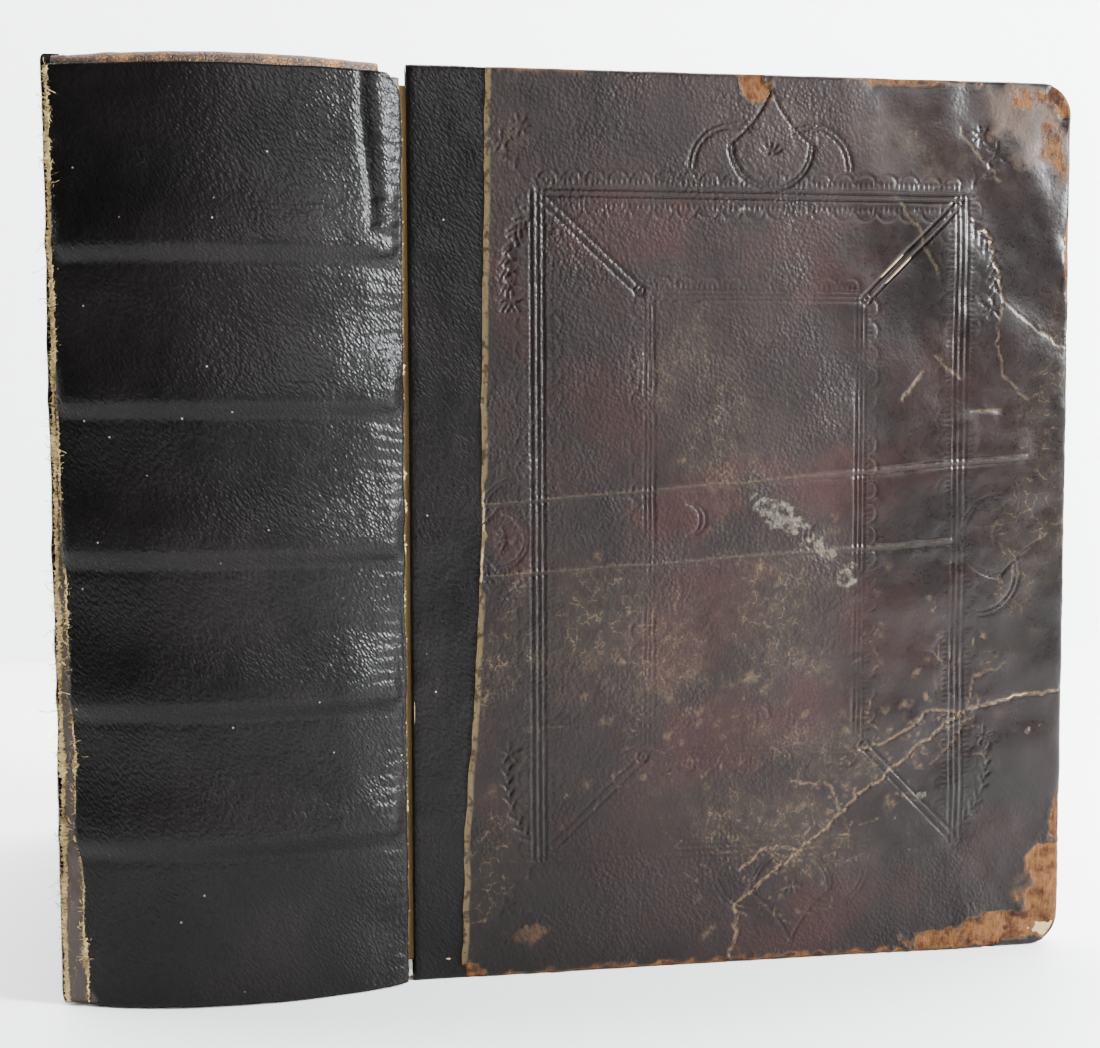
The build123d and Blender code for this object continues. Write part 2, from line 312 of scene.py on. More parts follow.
def spray(face, start, middle, end, strength=0.8, leaves=13):
    """A laurel spray along a bent stem, with a small open flower at its tip."""
    start, middle, end = (np.asarray(p, float) for p in (start, middle, end))
    stem = bow(start, middle, end, 17)
    press(face, stem, 0.6, strength * 0.6)
    for number in range(leaves):
        where = 0.08 + 0.84 * number / (leaves - 1)
        low = int(where * 16)
        root = stem[low]
        run = stem[min(low + 1, 16)] - stem[low]
        run = run / np.linalg.norm(run)
        side = np.array([-run[1], run[0]]) * (1 if number % 2 else -1)
        size = 2.7 * (1 - 0.45 * where)
        press(face, [root + side * 0.3, root + (run * 0.75 + side * 0.7) * size], 0.95, strength)
    for number in range(5):
        away = heading(math.radians(72 * number + 20))
        press(face, [end + away * 0.7, end + away * 3.0], 0.8, strength)


def ring(face, centre, radius, strength=0.9):
    """A small circle with a dot in it."""
    press(face, arc_points(centre, radius, 0, 360, 13), 0.7, strength)
    press(face, [np.asarray(centre) - 0.1, np.asarray(centre) + 0.1], 0.9, strength)


def rosette(face, centre, radius, strength=0.5):
    """A ring with seven petals."""
    ring(face, centre, radius * 0.35, strength)
    for number in range(7):
        away = heading(math.radians(360 / 7 * number))
        press(face, [centre + away * radius * 0.6, centre + away * radius], 0.8, strength)


def bowl(face, centre, radius, turn, strength=0.8):
    """A double half-round with a sprig in its hollow, a horn at each side and a pointed top."""
    centre = np.asarray(centre, float)
    out = heading(math.radians(turn))
    side = np.array([-out[1], out[0]])
    for shrink in (0, 1.1):
        press(face, arc_points(centre, radius - shrink, turn - 92, turn + 92, 22), 0.8, strength)
    for way in (-1, 1):
        hub = centre + side * way * radius * 0.92 + out * radius * 0.5
        turns = np.radians(np.linspace(-28, 92, 16))
        for grow in (0.88, 1.0):
            horn = np.outer(np.sin(turns), side * way) - np.outer(np.cos(turns), out)
            press(face, hub + radius * grow * horn, 0.7, strength * 0.8)
        low = centre + side * way * radius
        knee = centre + side * way * radius * 0.35 - out * radius * 0.45
        peak = centre - out * radius * 1.25
        press(face, bow(low, knee, peak, 9), 0.7, strength)
    for lean in (-62, -31, 0, 31, 62):
        leaf = -heading(math.radians(turn + lean))
        press(face, [centre + out * 2.6 + leaf * reach for reach in (0.9, 3.4)], 0.9, strength)


def crescent(face, centre, radius, turn, strength=0.7):
    """Two arcs side by side."""
    for shift in (0, 1.6):
        hub = np.asarray(centre) + shift * heading(math.radians(turn))
        press(face, arc_points(hub, radius, turn - 80, turn + 80, 12), 0.7, strength)


def panel(left, bottom, right, top):
    """The four sides of a frame, each from one corner to the next, anticlockwise."""
    places = [(left, bottom), (right, bottom), (right, top), (left, top)]
    return list(zip(places, places[1:] + places[:1]))


def tool_corners(face, crisp):
    """The lines that join the corners of the two frames, with a ring at the inner end of each."""
    corners = (
        ((36.5, 215.5), (63.5, 190.5), 1.0), ((156.0, 215.5), (129.0, 188.5), 0.9),
        ((156.0, 34.0), (129.5, 61.5), 0.8), ((36.5, 34.0), (64.5, 60.5), 0.3),
    )
    for start, end, weight in corners:
        fillets(face, start, end, (-1.1, 1.1), 0.85, weight * crisp)
        ring(face, end, 1.5, 0.9 * crisp)


def tool_cover(face, crisp):
    """The blind tooling of one cover: two frames joined at their corners, with small tools about them."""
    outer = (35.0, 32.5, 157.5, 217.0)
    inner = (66.5, 61.0, 127.5, 189.0)
    weights = {"bottom": 0.5, "right": 0.7, "top": 1.15, "left": 1.0}
    for name, (start, end) in zip(weights, panel(*outer)):
        weight = weights[name] * crisp
        fillets(face, start, end, (-1.5, 0.3, 1.9) if name != "top" else (-0.8, 1.0), 0.85, weight)
        bow = 0.38 if name == "top" else 0.22
        scallops(face, start, end, -3.6, bow * weight)
        scallops(face, start, end, 4.4, bow * weight)
        dentils(face, start, end, -2.4, 0.4 * weight)
        dentils(face, start, end, 3.2, 0.4 * weight)
    for start, end in panel(*inner):
        fillets(face, start, end, (-1.3, 0.0, 1.3), 0.65, 0.75 * crisp)
        scallops(face, start, end, -3.0, 0.4 * crisp, 6.4, 2.3)
        dentils(face, start, end, -2.0, 0.3 * crisp)
    tool_corners(face, crisp)
    for x, side in ((35.0, -1), (158.0, 1)):
        for y, way in ((214.0, -1), (36.0, 1)):
            weight = 0.9 if side < 0 else 0.6
            tip = (x + side * 8.0, y + way * 27.0)
            spray(face, (x, y), (x + side * 11.0, y + way * 10.0), tip, weight * crisp)
            flower = np.array([x + side * 7.5, y - way * 9.0])
            tip = flower + (side * 2.0, -way * 7.0)
            spray(face, (x - side * 1.0, y - way * 3.0), flower, tip, 0.5 * crisp, 5)
            rosette(face, np.array([x + side * 4.5, y - way * 20.5]), 2.6, 0.5 * crisp)
    for tool, x, y, radius, turn, weight in (
        (bowl, 101.0, 230.5, 12.2, -90, 1.0), (bowl, 108.0, 20.5, 12.0, 90, 0.5),
        (bowl, 24.0, 122.5, 8.5, 0, 0.6), (bowl, 170.0, 121.0, 12.0, 180, 0.7),
        (crescent, 76.5, 127.0, 4.6, 0, 0.75), (crescent, 117.5, 122.0, 4.6, 180, 0.4),
        (crescent, 97.0, 70.0, 4.6, 90, 0.4), (crescent, 97.0, 179.0, 4.6, -90, 0.3),
    ):
        tool(face, (x, y), radius, turn, weight * crisp)


def jagged(points, wander, seed, step=1.6):
    """A crack's course: straight runs broken up and pushed aside at random."""
    generator = np.random.default_rng(seed)
    course = []
    points = np.asarray(points, float)
    for start, end in zip(points[:-1], points[1:]):
        count = max(int(np.linalg.norm(end - start) / step), 1)
        for number in range(count):
            spot = start + (end - start) * number / count
            course.append(spot + generator.normal(0, wander, 2))
    course.append(points[-1])
    return np.array(course)


def crack(face, points, width, strength, seed, wander=0.45):
    """Pale where the leather's surface has split."""
    course = jagged(points, wander, seed)
    face.stroke("split", course, width, strength)
    face.stroke("pale", course, width * 1.5, strength * 0.8)
    face.stroke("detail", course, width + 1.8, 1.0)


def fleck(face, generator, centre, mean, width, strength):
    """A short pale scratch in a random direction; width is a number or a range."""
    away = heading(generator.uniform(0, math.pi)) * (generator.exponential(mean) + 0.3)
    if isinstance(width, tuple):
        width = generator.uniform(*width)
    face.stroke("pale", [centre - away, centre + away], width, generator.uniform(*strength))


def blots(face, name, places, turn, ragged, seed):
    """Patches from a list of (across, up, half width, half height, strength)."""
    for number, (x, y, half_width, half_height, strength) in enumerate(places):
        face.blot(name, (x, y), (half_width, half_height), turn, strength, ragged, seed + number)


def front_face():
    """The front cover's marks, in millimetres from its hinge edge and tail."""
    face = Face(BOARD_WIDTH + 1, BOARD_HEIGHT)
    tool_cover(face, 1.0)
    x = face.across[None, :]
    y = face.up[:, None]
    fade = rise(crumpled(x, y, 22, 3), -0.45, 0.6)
    strong = np.maximum(rise(-x, -44, -38) * rise(y, 60, 90), rise(y, 206, 214)) * 0.9
    face.layers["tooled"] *= np.maximum(fade * 0.75 + 0.25, strong).astype(np.float32)
    tool_corners(face, 0.9)
    spray(face, (33.5, 211), (25, 204), (28.5, 187), 0.95)
    spray(face, (160.0, 210), (170, 202), (167.0, 186), 0.6)

    for start, end in (((19, 131.9), (177.5, 143.8)), ((19, 112.1), (155, 120.0))):
        course = jagged([start, end], 0.12, int(start[1]), 9.0)
        face.stroke("crease", course, 1.2)
        face.stroke("fold", course - (0, 1.1), 1.3)
        face.stroke("detail", course, 4.0)
        face.stroke("pale", course, 0.7, 0.22)
    cracks = (
        (0.8, 0.8, 11, 0.45, (190, 76), (174, 74), (158.5, 70), (148, 62), (137.5, 54)),
        (0.85, 0.85, 12, 0.45, (137.5, 54), (124, 43), (111, 32), (98, 22), (91.5, 17), (92, 9), (90, 2)),
        (0.7, 0.7, 13, 0.45, (158.5, 70), (149, 71), (139, 63), (128, 60)),
        (0.7, 0.6, 14, 0.45, (124, 43), (119, 50), (108, 52)),
        (0.7, 0.7, 15, 0.45, (111, 32), (101, 33), (93, 27)),
        (0.7, 0.35, 16, 0.45, (137, 217), (144, 209), (150, 196)),
        (0.7, 0.3, 17, 0.45, (156, 237), (163, 228), (168.5, 222)),
        (0.7, 0.5, 18, 0.45, (164.5, 209), (167, 200), (170.5, 188), (179, 181), (190, 175)),
        (0.6, 0.4, 19, 0.45, (170, 190), (168, 178), (171, 167), (178, 160)),
        (0.7, 0.4, 20, 0.45, (150, 172), (158, 166)),
        (0.9, 0.6, 21, 0.2, (140, 160), (146, 168)),
        (0.7, 0.5, 22, 0.1, (161, 157), (170, 157)),
        (0.6, 0.4, 23, 0.45, (172, 84), (163, 80), (160, 66), (150, 55)),
    )
    for width, strength, seed, wander, *points in cracks:
        crack(face, points, width, strength, seed, wander)

    generator = np.random.default_rng(5)
    for number in range(420):
        centre = generator.normal((84, 74), (34, 24))
        fleck(face, generator, centre, 0.9, (0.3, 0.6), (0.1, 0.4))
    low_end, high_end = np.array([88, 14]), np.array([160, 78])
    for number in range(260):
        along = generator.uniform(0, 1)
        centre = low_end * (1 - along) + high_end * along + generator.normal(0, 8, 2)
        fleck(face, generator, centre, 0.9, 0.5, (0.2, 0.6))

    reds = (
        (58, 204, 20, 12, 0.7), (53, 155, 13, 22, 0.8), (81, 133, 24, 9, 1.0), (81, 99, 22, 16, 0.8),
        (133, 138, 26, 12, 0.9), (93, 67, 30, 12, 0.8), (140, 97, 20, 18, 0.7), (27, 190, 6, 26, 0.8),
        (27, 122, 7, 12, 0.9), (26, 45, 8, 20, 0.6), (126, 195, 22, 10, 0.6), (150, 168, 16, 16, 0.6),
        (168, 150, 14, 18, 0.5), (120, 14, 30, 9, 0.7), (168, 30, 14, 10, 0.5), (110, 205, 24, 8, 0.4),
        (60, 40, 24, 14, 0.6),
    )
    blots(face, "red", reds, 20, 0.45, 40)
    worn = (
        (48, 102, 22, 22, 0.55), (62, 92, 26, 16, 0.5), (105, 100, 18, 20, 0.5), (88, 150, 22, 30, 0.45),
        (25, 90, 6, 24, 0.5), (22, 30, 7, 26, 0.6), (178, 120, 12, 30, 0.5), (183, 160, 8, 30, 0.5),
        (100, 40, 30, 12, 0.5), (120, 60, 22, 12, 0.4), (140, 232, 30, 10, 0.35), (22, 220, 7, 24, 0.4),
    )
    blots(face, "worn", worn, -15, 0.5, 70)
    smears = ((104, 128, 6, 4), (110, 124, 7, 3), (118, 116, 5, 4), (124, 112, 4, 5), (99, 131, 3, 2))
    for x, y, half_width, half_height in smears:
        face.blot("smear", (x, y), (half_width, half_height), -35, 0.9, 0.8, x)
    drips = ((18.9, 14.5, 1.3), (179.5, 64, 1.5), (183.8, 66, 1.1), (147, 46.3, 1.5), (93, 212.5, 1.6))
    for x, y, size in drips:
        face.blot("smear", (x, y), (size, size * 0.8), 0, 1.0, 0.3, int(y))

    bare = (
        (187.5, 246.0, 8, 5, -40, 1.0), (176, 245, 12, 5, -14, 0.45), (174, 238, 17, 10, -40, 0.30),
        (185, 232, 6, 14, 18, 0.45), (190.5, 200, 2.2, 15, 0, 1.0), (190.5, 238, 1.6, 10, 0, 0.8),
        (191, 178, 1.6, 10, 0, 0.7), (96.5, 246.5, 5.4, 6.2, 0, 1.0), (93.5, 249.5, 4.5, 3.0, 0, 1.0),
        (186, 20, 9, 15, -18, 1.0), (190, 38, 3.5, 9, -12, 1.0), (170, 5.5, 16, 5.5, 10, 1.0),
        (31, 12, 7, 4, 0, 0.30), (152, 3.5, 12, 3.2, 4, 0.9), (190, 4, 12, 8, 0, 1.0),
        (60, 0.2, 46, 1.4, 0, 0.6), (110, 0.2, 40, 1.6, 0, 0.7), (142, 249.4, 22, 1.6, 0, 0.6),
        (40, 249.8, 22, 1.2, 0, 0.4), (190.2, 120, 1.2, 32, 0, 0.5), (15, 1, 5, 4, 0, 0.8),
    )
    for number, (x, y, half_width, half_height, turn, strength) in enumerate(bare):
        face.blot("bare", (x, y), (half_width, half_height), turn, strength, 0.35, 90 + number)
        if strength > 0.8:
            reach = (half_width * 1.15, half_height * 1.15)
            face.blot("detail", (x, y), reach, turn, 0.5, 0.2, 90 + number)
    return face


def rear_face():
    """The rear cover was tooled to match and is worn in its own places."""
    face = Face(BOARD_WIDTH + 1, BOARD_HEIGHT)
    tool_cover(face, 0.9)
    x = face.across[None, :]
    y = face.up[:, None]
    face.layers["tooled"] *= (rise(crumpled(x, y, 30, 23), -0.8, 0.3) * 0.85 + 0.15).astype(np.float32)
    crack(face, [(30, 190), (44, 170), (40, 150), (60, 138)], 0.8, 0.6, 31)
    crack(face, [(120, 60), (140, 72), (150, 92), (176, 100)], 0.9, 0.7, 32)
    generator = np.random.default_rng(9)
    for number in range(900):
        centre = generator.uniform((16, 4), (188, 246))
        fleck(face, generator, centre, 0.8, 0.7, (0.1, 0.5))
        if number < 16:
            face.blot("red", centre, (18, 14), 0, 0.8, 0.5, 200 + number)
        if 20 < number < 32:
            face.blot("worn", centre, (20, 14), 0, 0.5, 0.5, 200 + number)
    bare = (
        (189, 247, 7, 6, 1.0), (189, 3, 8, 7, 1.0), (150, 0.5, 40, 1.6, 0.7),
        (190.4, 120, 1.4, 60, 0.6), (90, 249.6, 40, 1.3, 0.6), (40, 0.2, 30, 1.5, 0.7),
    )
    blots(face, "bare", bare, 0, 0.35, 300)
    return face


def joint_line(up):
    """Where the old brown leather was cut back over the new black strip, from the hinge edge."""
    heights = (-5, 40, 82, 122, 170, 255)
    reach = (13.3, 14.3, 17.6, 19.6, 19.8, 21.4)
    return np.interp(up, heights, reach) + 0.25 * patchy(up, up * 0, 7, 4) + 0.12 * patchy(up, up * 0, 1.6, 6)


def front_height(face, x, y):
    """How far the front cover's surface stands above its flat face."""
    right = rise(x, 105, 150)
    height = 0.16 * crumpled(x, y, 34, 1, 2)
    height = height + (0.06 + 0.30 * right) * crumpled(x * 0.8 + y * 0.5, y * 0.9 - x * 0.5, 11, 2, 3)
    folds = np.sin((x * 0.82 + y * 0.57) / 4.6 + 1.6 * patchy(x, y, 18, 8))
    height = height + 0.52 * folds * right * rise(y, 150, 200)
    finer = np.sin((x * 0.9 + y * 0.45) / 1.7 + 2.2 * patchy(x, y, 9, 19))
    height = height + 0.09 * finer * right * rise(patchy(x, y, 16, 20), -0.2, 0.5)
    low_folds = np.sin((x * 0.5 - y * 0.86) / 5.2 + 1.8 * patchy(x, y, 20, 9))
    height = height + 0.22 * low_folds * rise(x, 80, 130) * rise(-y, -96, -60)
    height = height - 0.68 * face.read("tooled", x, y)
    crease = face.read("crease", x, y)
    height = height + 0.32 * crease - 0.22 * face.read("fold", x, y)
    height = height - 0.5 * face.read("split", x, y)
    height = height + 0.12 * face.read("smear", x, y)
    bare = rise(face.read("bare", x, y), 0.35, 0.6)
    rim = rise(face.read("bare", x, y), 0.12, 0.36) - bare
    height = height + 0.30 * rim * rise(face.read("bare", x, y), 0.05, 0.2)
    return height - bare * (0.45 + 0.18 * crumpled(x, y, 1.6, 21, 2))


def rear_height(face, x, y):
    """How far the rear cover's surface stands above its flat face."""
    height = 0.16 * crumpled(x, y, 34, 61, 2) + 0.07 * crumpled(x, y, 12, 62, 3)
    height = height - 0.45 * face.read("tooled", x, y) - 0.4 * face.read("split", x, y)
    return height - 0.4 * rise(face.read("bare", x, y), 0.35, 0.6)


def strip_height(face, x, y):
    """The black strip follows the cords laced in beneath it, and lies under the old leather's edge."""
    height = 0.30 * crumpled(x, y, 14, 71, 2) + 0.08 * crumpled(x, y, 5, 72, 2)
    for band in BAND_HEIGHTS:
        height = height + 0.35 * np.exp(-((y - band) / 3.2) ** 2) * np.exp(-(x / 13) ** 2)
    return height - 0.36 - 0.5 * rise(-x, -1.6, 0)


# ---------------------------------------------------------------- meshes
def finish_mesh(name, bm):
    """Writes a bmesh, built in millimetres, as an object in the frame."""
    bmesh.ops.scale(bm, vec=(MM, MM, MM), verts=bm.verts)
    mesh = bpy.data.meshes.new(name)
    bm.to_mesh(mesh)
    bm.free()
    mesh.polygons.foreach_set("use_smooth", [True] * len(mesh.polygons))
    return show(name, mesh)


def tube_piece(name, outer, inner, smooth=True):
    """A closed sheet between an outer and an inner skin, each rows by columns by three."""
    return grid_piece(name, np.concatenate([outer, inner[:, ::-1]], axis=1), True, smooth)


def grid_piece(name, points, tube=True, smooth=True):
    """A skin through an array of points: rows by columns by three.  A tube joins its last column to the
    first, and has its two ends closed."""
    rows, columns = points.shape[:2]
    mesh = bpy.data.meshes.new(name)
    index = np.arange(rows * columns).reshape(rows, columns)
    if tube:
        index = np.concatenate([index, index[:, :1]], axis=1)
    corners = [index[:-1, :-1], index[:-1, 1:], index[1:, 1:], index[1:, :-1]]
    faces = np.stack(corners, axis=-1).reshape(-1, 4).tolist()
    if tube:
        faces.append(list(range(columns))[::-1])
        faces.append(list(range((rows - 1) * columns, rows * columns)))
    mesh.from_pydata((points.reshape(-1, 3) * MM).tolist(), [], faces)
    outwards(mesh)
    mesh.polygons.foreach_set("use_smooth", [smooth] * len(mesh.polygons))
    return show(name, mesh)


def outwards(mesh):
    """Turns a closed mesh's faces outwards."""
    bm = bmesh.new()
    bm.from_mesh(mesh)
    bmesh.ops.recalc_face_normals(bm, faces=bm.faces)
    bm.to_mesh(mesh)
    bm.free()


def give(piece, name, values):
    """Stores one value per point, for the piece's finish to read."""
    attribute = piece.data.attributes.new(name, "FLOAT", "POINT")
    attribute.data.foreach_set("value", np.asarray(values, np.float32).ravel())


def finish_piece(piece, body, material, slot, *nodes):
    """Gives a piece its finish and the body it moves with, in place of its plain solids."""
    piece.data.materials.append(material)
    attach(piece, body)
    if nodes:
        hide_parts(*nodes)
    return piece


EDGE_ROLL = 1.2
CORNER = 9.0
TURN_IN = 16.0
HINGE_CUT = 0.55            # how thick the leather is at its edge along the joint


def face_outline(a, b, left, right, squeezed):
    """Lays the unit square out on a cover: its hinge side follows a line, its fore corners are round."""
    top = BOARD_HEIGHT - EDGE_ROLL
    up = EDGE_ROLL + (top - EDGE_ROLL) * b
    across = left(up) + (right(up) - left(up)) * a
    if squeezed:
        radius = CORNER - EDGE_ROLL
        centre_x = BOARD_WIDTH - CORNER
        for centre_y, way in ((CORNER, -1), (BOARD_HEIGHT - CORNER, 1)):
            dx = (across - centre_x) / radius
            dy = (up - centre_y) * way / radius
            inside = (dx > 0) & (dy > 0)
            reach = np.maximum(dx, dy) / np.maximum(np.hypot(dx, dy), 1e-9)
            across = np.where(inside, centre_x + dx * reach * radius, across)
            up = np.where(inside, centre_y + way * dy * reach * radius, up)
    return across, up


def walk_rim(bm):
    """The open edge of a sheet, vertex by vertex."""
    rim = [edge for edge in bm.edges if edge.is_boundary]
    following = {}
    for edge in rim:
        loop = edge.link_loops[0]
        following[loop.vert] = loop.link_loop_next.vert
    first = rim[0].link_loops[0].vert
    order = [first]
    while following[order[-1]] is not first:
        order.append(following[order[-1]])
    return order


def roll_profile():
    """How a cover goes over a board's edge: (outwards, deep) for each ring of its skin."""
    outer = [math.radians(a) for a in (30, 60, 90)]
    rings = [(EDGE_ROLL * math.sin(a), EDGE_ROLL * (1 - math.cos(a))) for a in outer]
    inner = EDGE_ROLL - 0.8
    rings += [(EDGE_ROLL, 3.0), (EDGE_ROLL, SHELL - 0.8)]
    rings += [(inner + 0.8 * math.cos(a), SHELL - 0.8 + 0.8 * math.sin(a)) for a in outer[::2]]
    rings += [(inner - 6.0, SHELL), (EDGE_ROLL - TURN_IN, SHELL), (EDGE_ROLL - TURN_IN, SHELL - 0.6)]
    return rings


def board_hide(name, place, face, height_of, left, right, cells, levels, to_fore_edge):
    """One leather covering a board's outer face, rolled over its edges and turned in behind."""
    bm = bmesh.new()
    bmesh.ops.create_grid(bm, x_segments=cells[0], y_segments=cells[1], size=0.5,
                          matrix=Matrix.Translation((0.5, 0.5, 0)))
    for limit in levels:
        flat = np.array([v.co for v in bm.verts])
        across, up = face_outline(flat[:, 0], flat[:, 1], left, right, to_fore_edge)
        wanted = face.read("detail", across, up)
        bm.verts.index_update()
        edges = set()
        for patch in bm.faces:
            if sum(wanted[v.index] for v in patch.verts) > limit * len(patch.verts):
                edges.update(patch.edges)
        bmesh.ops.subdivide_edges(bm, edges=list(edges), cuts=1, use_grid_fill=True)
    rim = walk_rim(bm)
    bm.verts.index_update()
    flat = np.array([v.co for v in bm.verts])
    across, up = face_outline(flat[:, 0], flat[:, 1], left, right, to_fore_edge)
    rim_index = np.array([v.index for v in rim])
    ra, rb = flat[rim_index, 0], flat[rim_index, 1]
    rx, ry = across[rim_index], up[rim_index]
    out_x = np.where(ra > 1 - 1e-6, 1.0, 0.0)
    out_y = np.where(rb > 1 - 1e-6, 1.0, np.where(rb < 1e-6, -1.0, 0.0))
    if not to_fore_edge:
        out_x = out_x * 0
    else:
        for centre_y, way in ((CORNER, -1), (BOARD_HEIGHT - CORNER, 1)):
            dx = rx - (BOARD_WIDTH - CORNER)
            dy = (ry - centre_y) * way
            inside = (dx > -1e-6) & (dy > -1e-6)
            size = np.maximum(np.hypot(dx, dy), 1e-9)
            out_x = np.where(inside, dx / size, out_x)
            out_y = np.where(inside, way * dy / size, out_y)
    straight = (out_x == 0) & (out_y == 0)
    at_left = straight & (ra < 0.5)
    last_x = BOARD_WIDTH - TURN_IN if to_fore_edge else 1e9

    all_x, all_y, all_d = [across], [up], [np.zeros(len(across))]
    previous = rim
    rings = roll_profile()
    for number, (outwards_by, deep) in enumerate(rings):
        wander = 0.10 * crumpled(rx, ry, 9, 33, 2) * (1 if number > 1 else 0.3)
        reach = outwards_by - wander * (outwards_by > 0.5)
        x = rx + out_x * reach
        y = ry + out_y * reach
        if number >= len(rings) - 2:
            x = np.minimum(x, np.where(out_x > 0, last_x, 1e9))
            y = np.clip(y, TURN_IN, BOARD_HEIGHT - TURN_IN)
        x = np.where(straight, x + np.where(at_left, 1, -1) * 1.2 * (number > 3), x)
        depth = np.where(straight & (number <= 3), min(deep, HINGE_CUT), deep)
        ring_verts = [bm.verts.new((0, 0, 0)) for _ in rim]
        for here in range(len(rim)):
            after = (here + 1) % len(rim)
            bm.faces.new((previous[after], previous[here], ring_verts[here], ring_verts[after]))
        previous = ring_verts
        all_x.append(x)
        all_y.append(y)
        all_d.append(np.broadcast_to(depth, x.shape))
    centre = bm.verts.new((0, 0, 0))
    for here in range(len(rim)):
        after = (here + 1) % len(rim)
        bm.faces.new((previous[after], previous[here], centre))
    all_x.append([np.mean(all_x[-1])])
    all_y.append([np.mean(all_y[-1])])
    all_d.append([SHELL - 0.6])

    x = np.concatenate(all_x)
    y = np.concatenate(all_y)
    deep = np.concatenate(all_d)
    lift = height_of(face, x, y)
    share = np.clip(1 - deep / 1.6, 0, 1)
    spots = place(x, y, deep - lift * share)
    bm.verts.index_update()
    bm.verts.ensure_lookup_table()
    for vertex, spot in zip(bm.verts, spots):
        vertex.co = spot
    bmesh.ops.recalc_face_normals(bm, faces=bm.faces)
    piece = finish_mesh(name, bm)
    behind = rise(deep, 1.0, 1.4)
    weights = {"tooled": share, "red": 1, "worn": 1, "pale": share, "smear": share, "bare": 1 - 0.5 * behind}
    for mark, weight in weights.items():
        give(piece, mark, face.read(mark, x, y) * weight)
    give(piece, "cut", 1 - rise(x - left(y), 0.35, 0.75))
    # Painted shade, stored as shade: the colour is darkened down the fore-edge side below the head, along the
    # hinge side and more at the lower left, for the fall of the light; bare patches are darkened less.
    shade = 1 - 0.50 * rise(x, 114, 142) * rise(-y, -226, -200) - 0.34 * rise(-x, -80, -45)
    shade = shade - 0.30 * rise(-y, -72, -30) * rise(-x, -98, -70)
    shade = shade + 0.5 * rise(face.read("bare", x, y), 0.2, 0.5)
    give(piece, "shade", np.clip(shade, 0.4, 1.0))
    give(piece, "polish", rise(x + 14 * patchy(x, y, 26, 15), 112, 142) * rise(y, 20, 60))
    return piece


# ---------------------------------------------------------------- finishes
def colour(code):
    """A hex code as linear red, green, blue and alpha."""
    parts = [int(code[i:i + 2], 16) / 255 for i in (1, 3, 5)]
    return [p / 12.92 if p <= 0.04045 else ((p + 0.055) / 1.055) ** 2.4 for p in parts] + [1.0]


class Nodes:
    """Adds nodes to a tree; an input is fed by its name, with a number or another node's output."""

    def __init__(self, tree):
        self.tree = tree

    def add(self, kind, settings=None, **inputs):
        node = self.tree.nodes.new(kind)
        for key, value in (settings or {}).items():
            setattr(node, key, value)
        for key, value in inputs.items():
            self.feed(node.inputs[key.replace("_", " ")], value)
        return node

    def feed(self, socket, value):
        if isinstance(value, bpy.types.NodeSocket):
            self.tree.links.new(value, socket)
        else:
            socket.default_value = value

    def feed_all(self, node, *values):
        """Feeds a node's first inputs in turn, and gives back its first output."""
        for socket, value in zip(node.inputs, values):
            self.feed(socket, value)
        return node.outputs[0]

    def sum(self, kind, *values):
        return self.feed_all(self.add("ShaderNodeMath", {"operation": kind}), *values)

    def times(self, *values):
        return functools.reduce(functools.partial(self.sum, "MULTIPLY"), values)

    def plus(self, *values):
        return functools.reduce(functools.partial(self.sum, "ADD"), values)

    def minus(self, first, second):
        return self.sum("SUBTRACT", first, second)

    def over(self, first, second):
        return self.sum("DIVIDE", first, second)

    def vector_sum(self, kind, *values):
        return self.feed_all(self.add("ShaderNodeVectorMath", {"operation": kind}), *values)


class Finish(Nodes):
    """Colours and patterns for a material's or a group's tree."""

    def clamp(self, value):
        return self.feed_all(self.add("ShaderNodeClamp"), value)

    def step(self, value, low, high, to_low=0.0, to_high=1.0):
        """0 below low, 1 above high, smooth between, unless to_low and to_high say otherwise."""
        node = self.add("ShaderNodeMapRange", {"interpolation_type": "SMOOTHSTEP"})
        return self.feed_all(node, value, low, high, to_low, to_high)

    def mix(self, share, first, second, blend="MIX"):
        """The colour first turned to second by share; a colour may be a hex code."""
        node = self.add("ShaderNodeMix", {"data_type": "RGBA", "blend_type": blend})
        for number, value in ((0, share), (6, first), (7, second)):
            self.feed(node.inputs[number], colour(value) if isinstance(value, str) else value)
        return node.outputs[2]

    def where(self):
        return self.add("ShaderNodeTexCoord").outputs["Object"]

    def moved(self, vector, scale=(1, 1, 1), turn=(0, 0, 0)):
        return self.add("ShaderNodeMapping", Vector=vector, Scale=scale,
                        Rotation=[math.radians(a) for a in turn]).outputs[0]

    def noise(self, vector, size, detail=4.0, rough=0.55, distort=0.0):
        """Cloudy values from 0 to 1; size is in millimetres."""
        return self.add("ShaderNodeTexNoise", Vector=vector, Scale=1000.0 / size, Detail=detail,
                        Roughness=rough, Distortion=distort).outputs[0]

    def cells(self, vector, size, feature="DISTANCE_TO_EDGE", random=1.0):
        return self.add("ShaderNodeTexVoronoi", {"feature": feature}, Vector=vector, Scale=1000.0 / size,
                        Randomness=random).outputs["Distance"]

    def stored(self, name):
        return self.add("ShaderNodeAttribute", {"attribute_name": name}).outputs["Fac"]

    def use(self, group, **inputs):
        node = self.tree.nodes.new("ShaderNodeGroup")
        node.node_tree = group
        for key, value in inputs.items():
            self.feed(node.inputs[key.replace("_", " ")], value)
        return node


def group_tree(name, inputs, outputs):
    """An effect shared by several finishes; inputs and outputs are (name, kind, default)."""
    tree = bpy.data.node_groups.new(name, "ShaderNodeTree")
    for label, kind, default in inputs:
        socket = tree.interface.new_socket(name=label, in_out="INPUT", socket_type=kind)
        if default is not None:
            socket.default_value = default
    for label, kind in outputs:
        tree.interface.new_socket(name=label, in_out="OUTPUT", socket_type=kind)
    f = Finish(tree)
    start = tree.nodes.new("NodeGroupInput")
    end = tree.nodes.new("NodeGroupOutput")
    return f, start.outputs, end.inputs


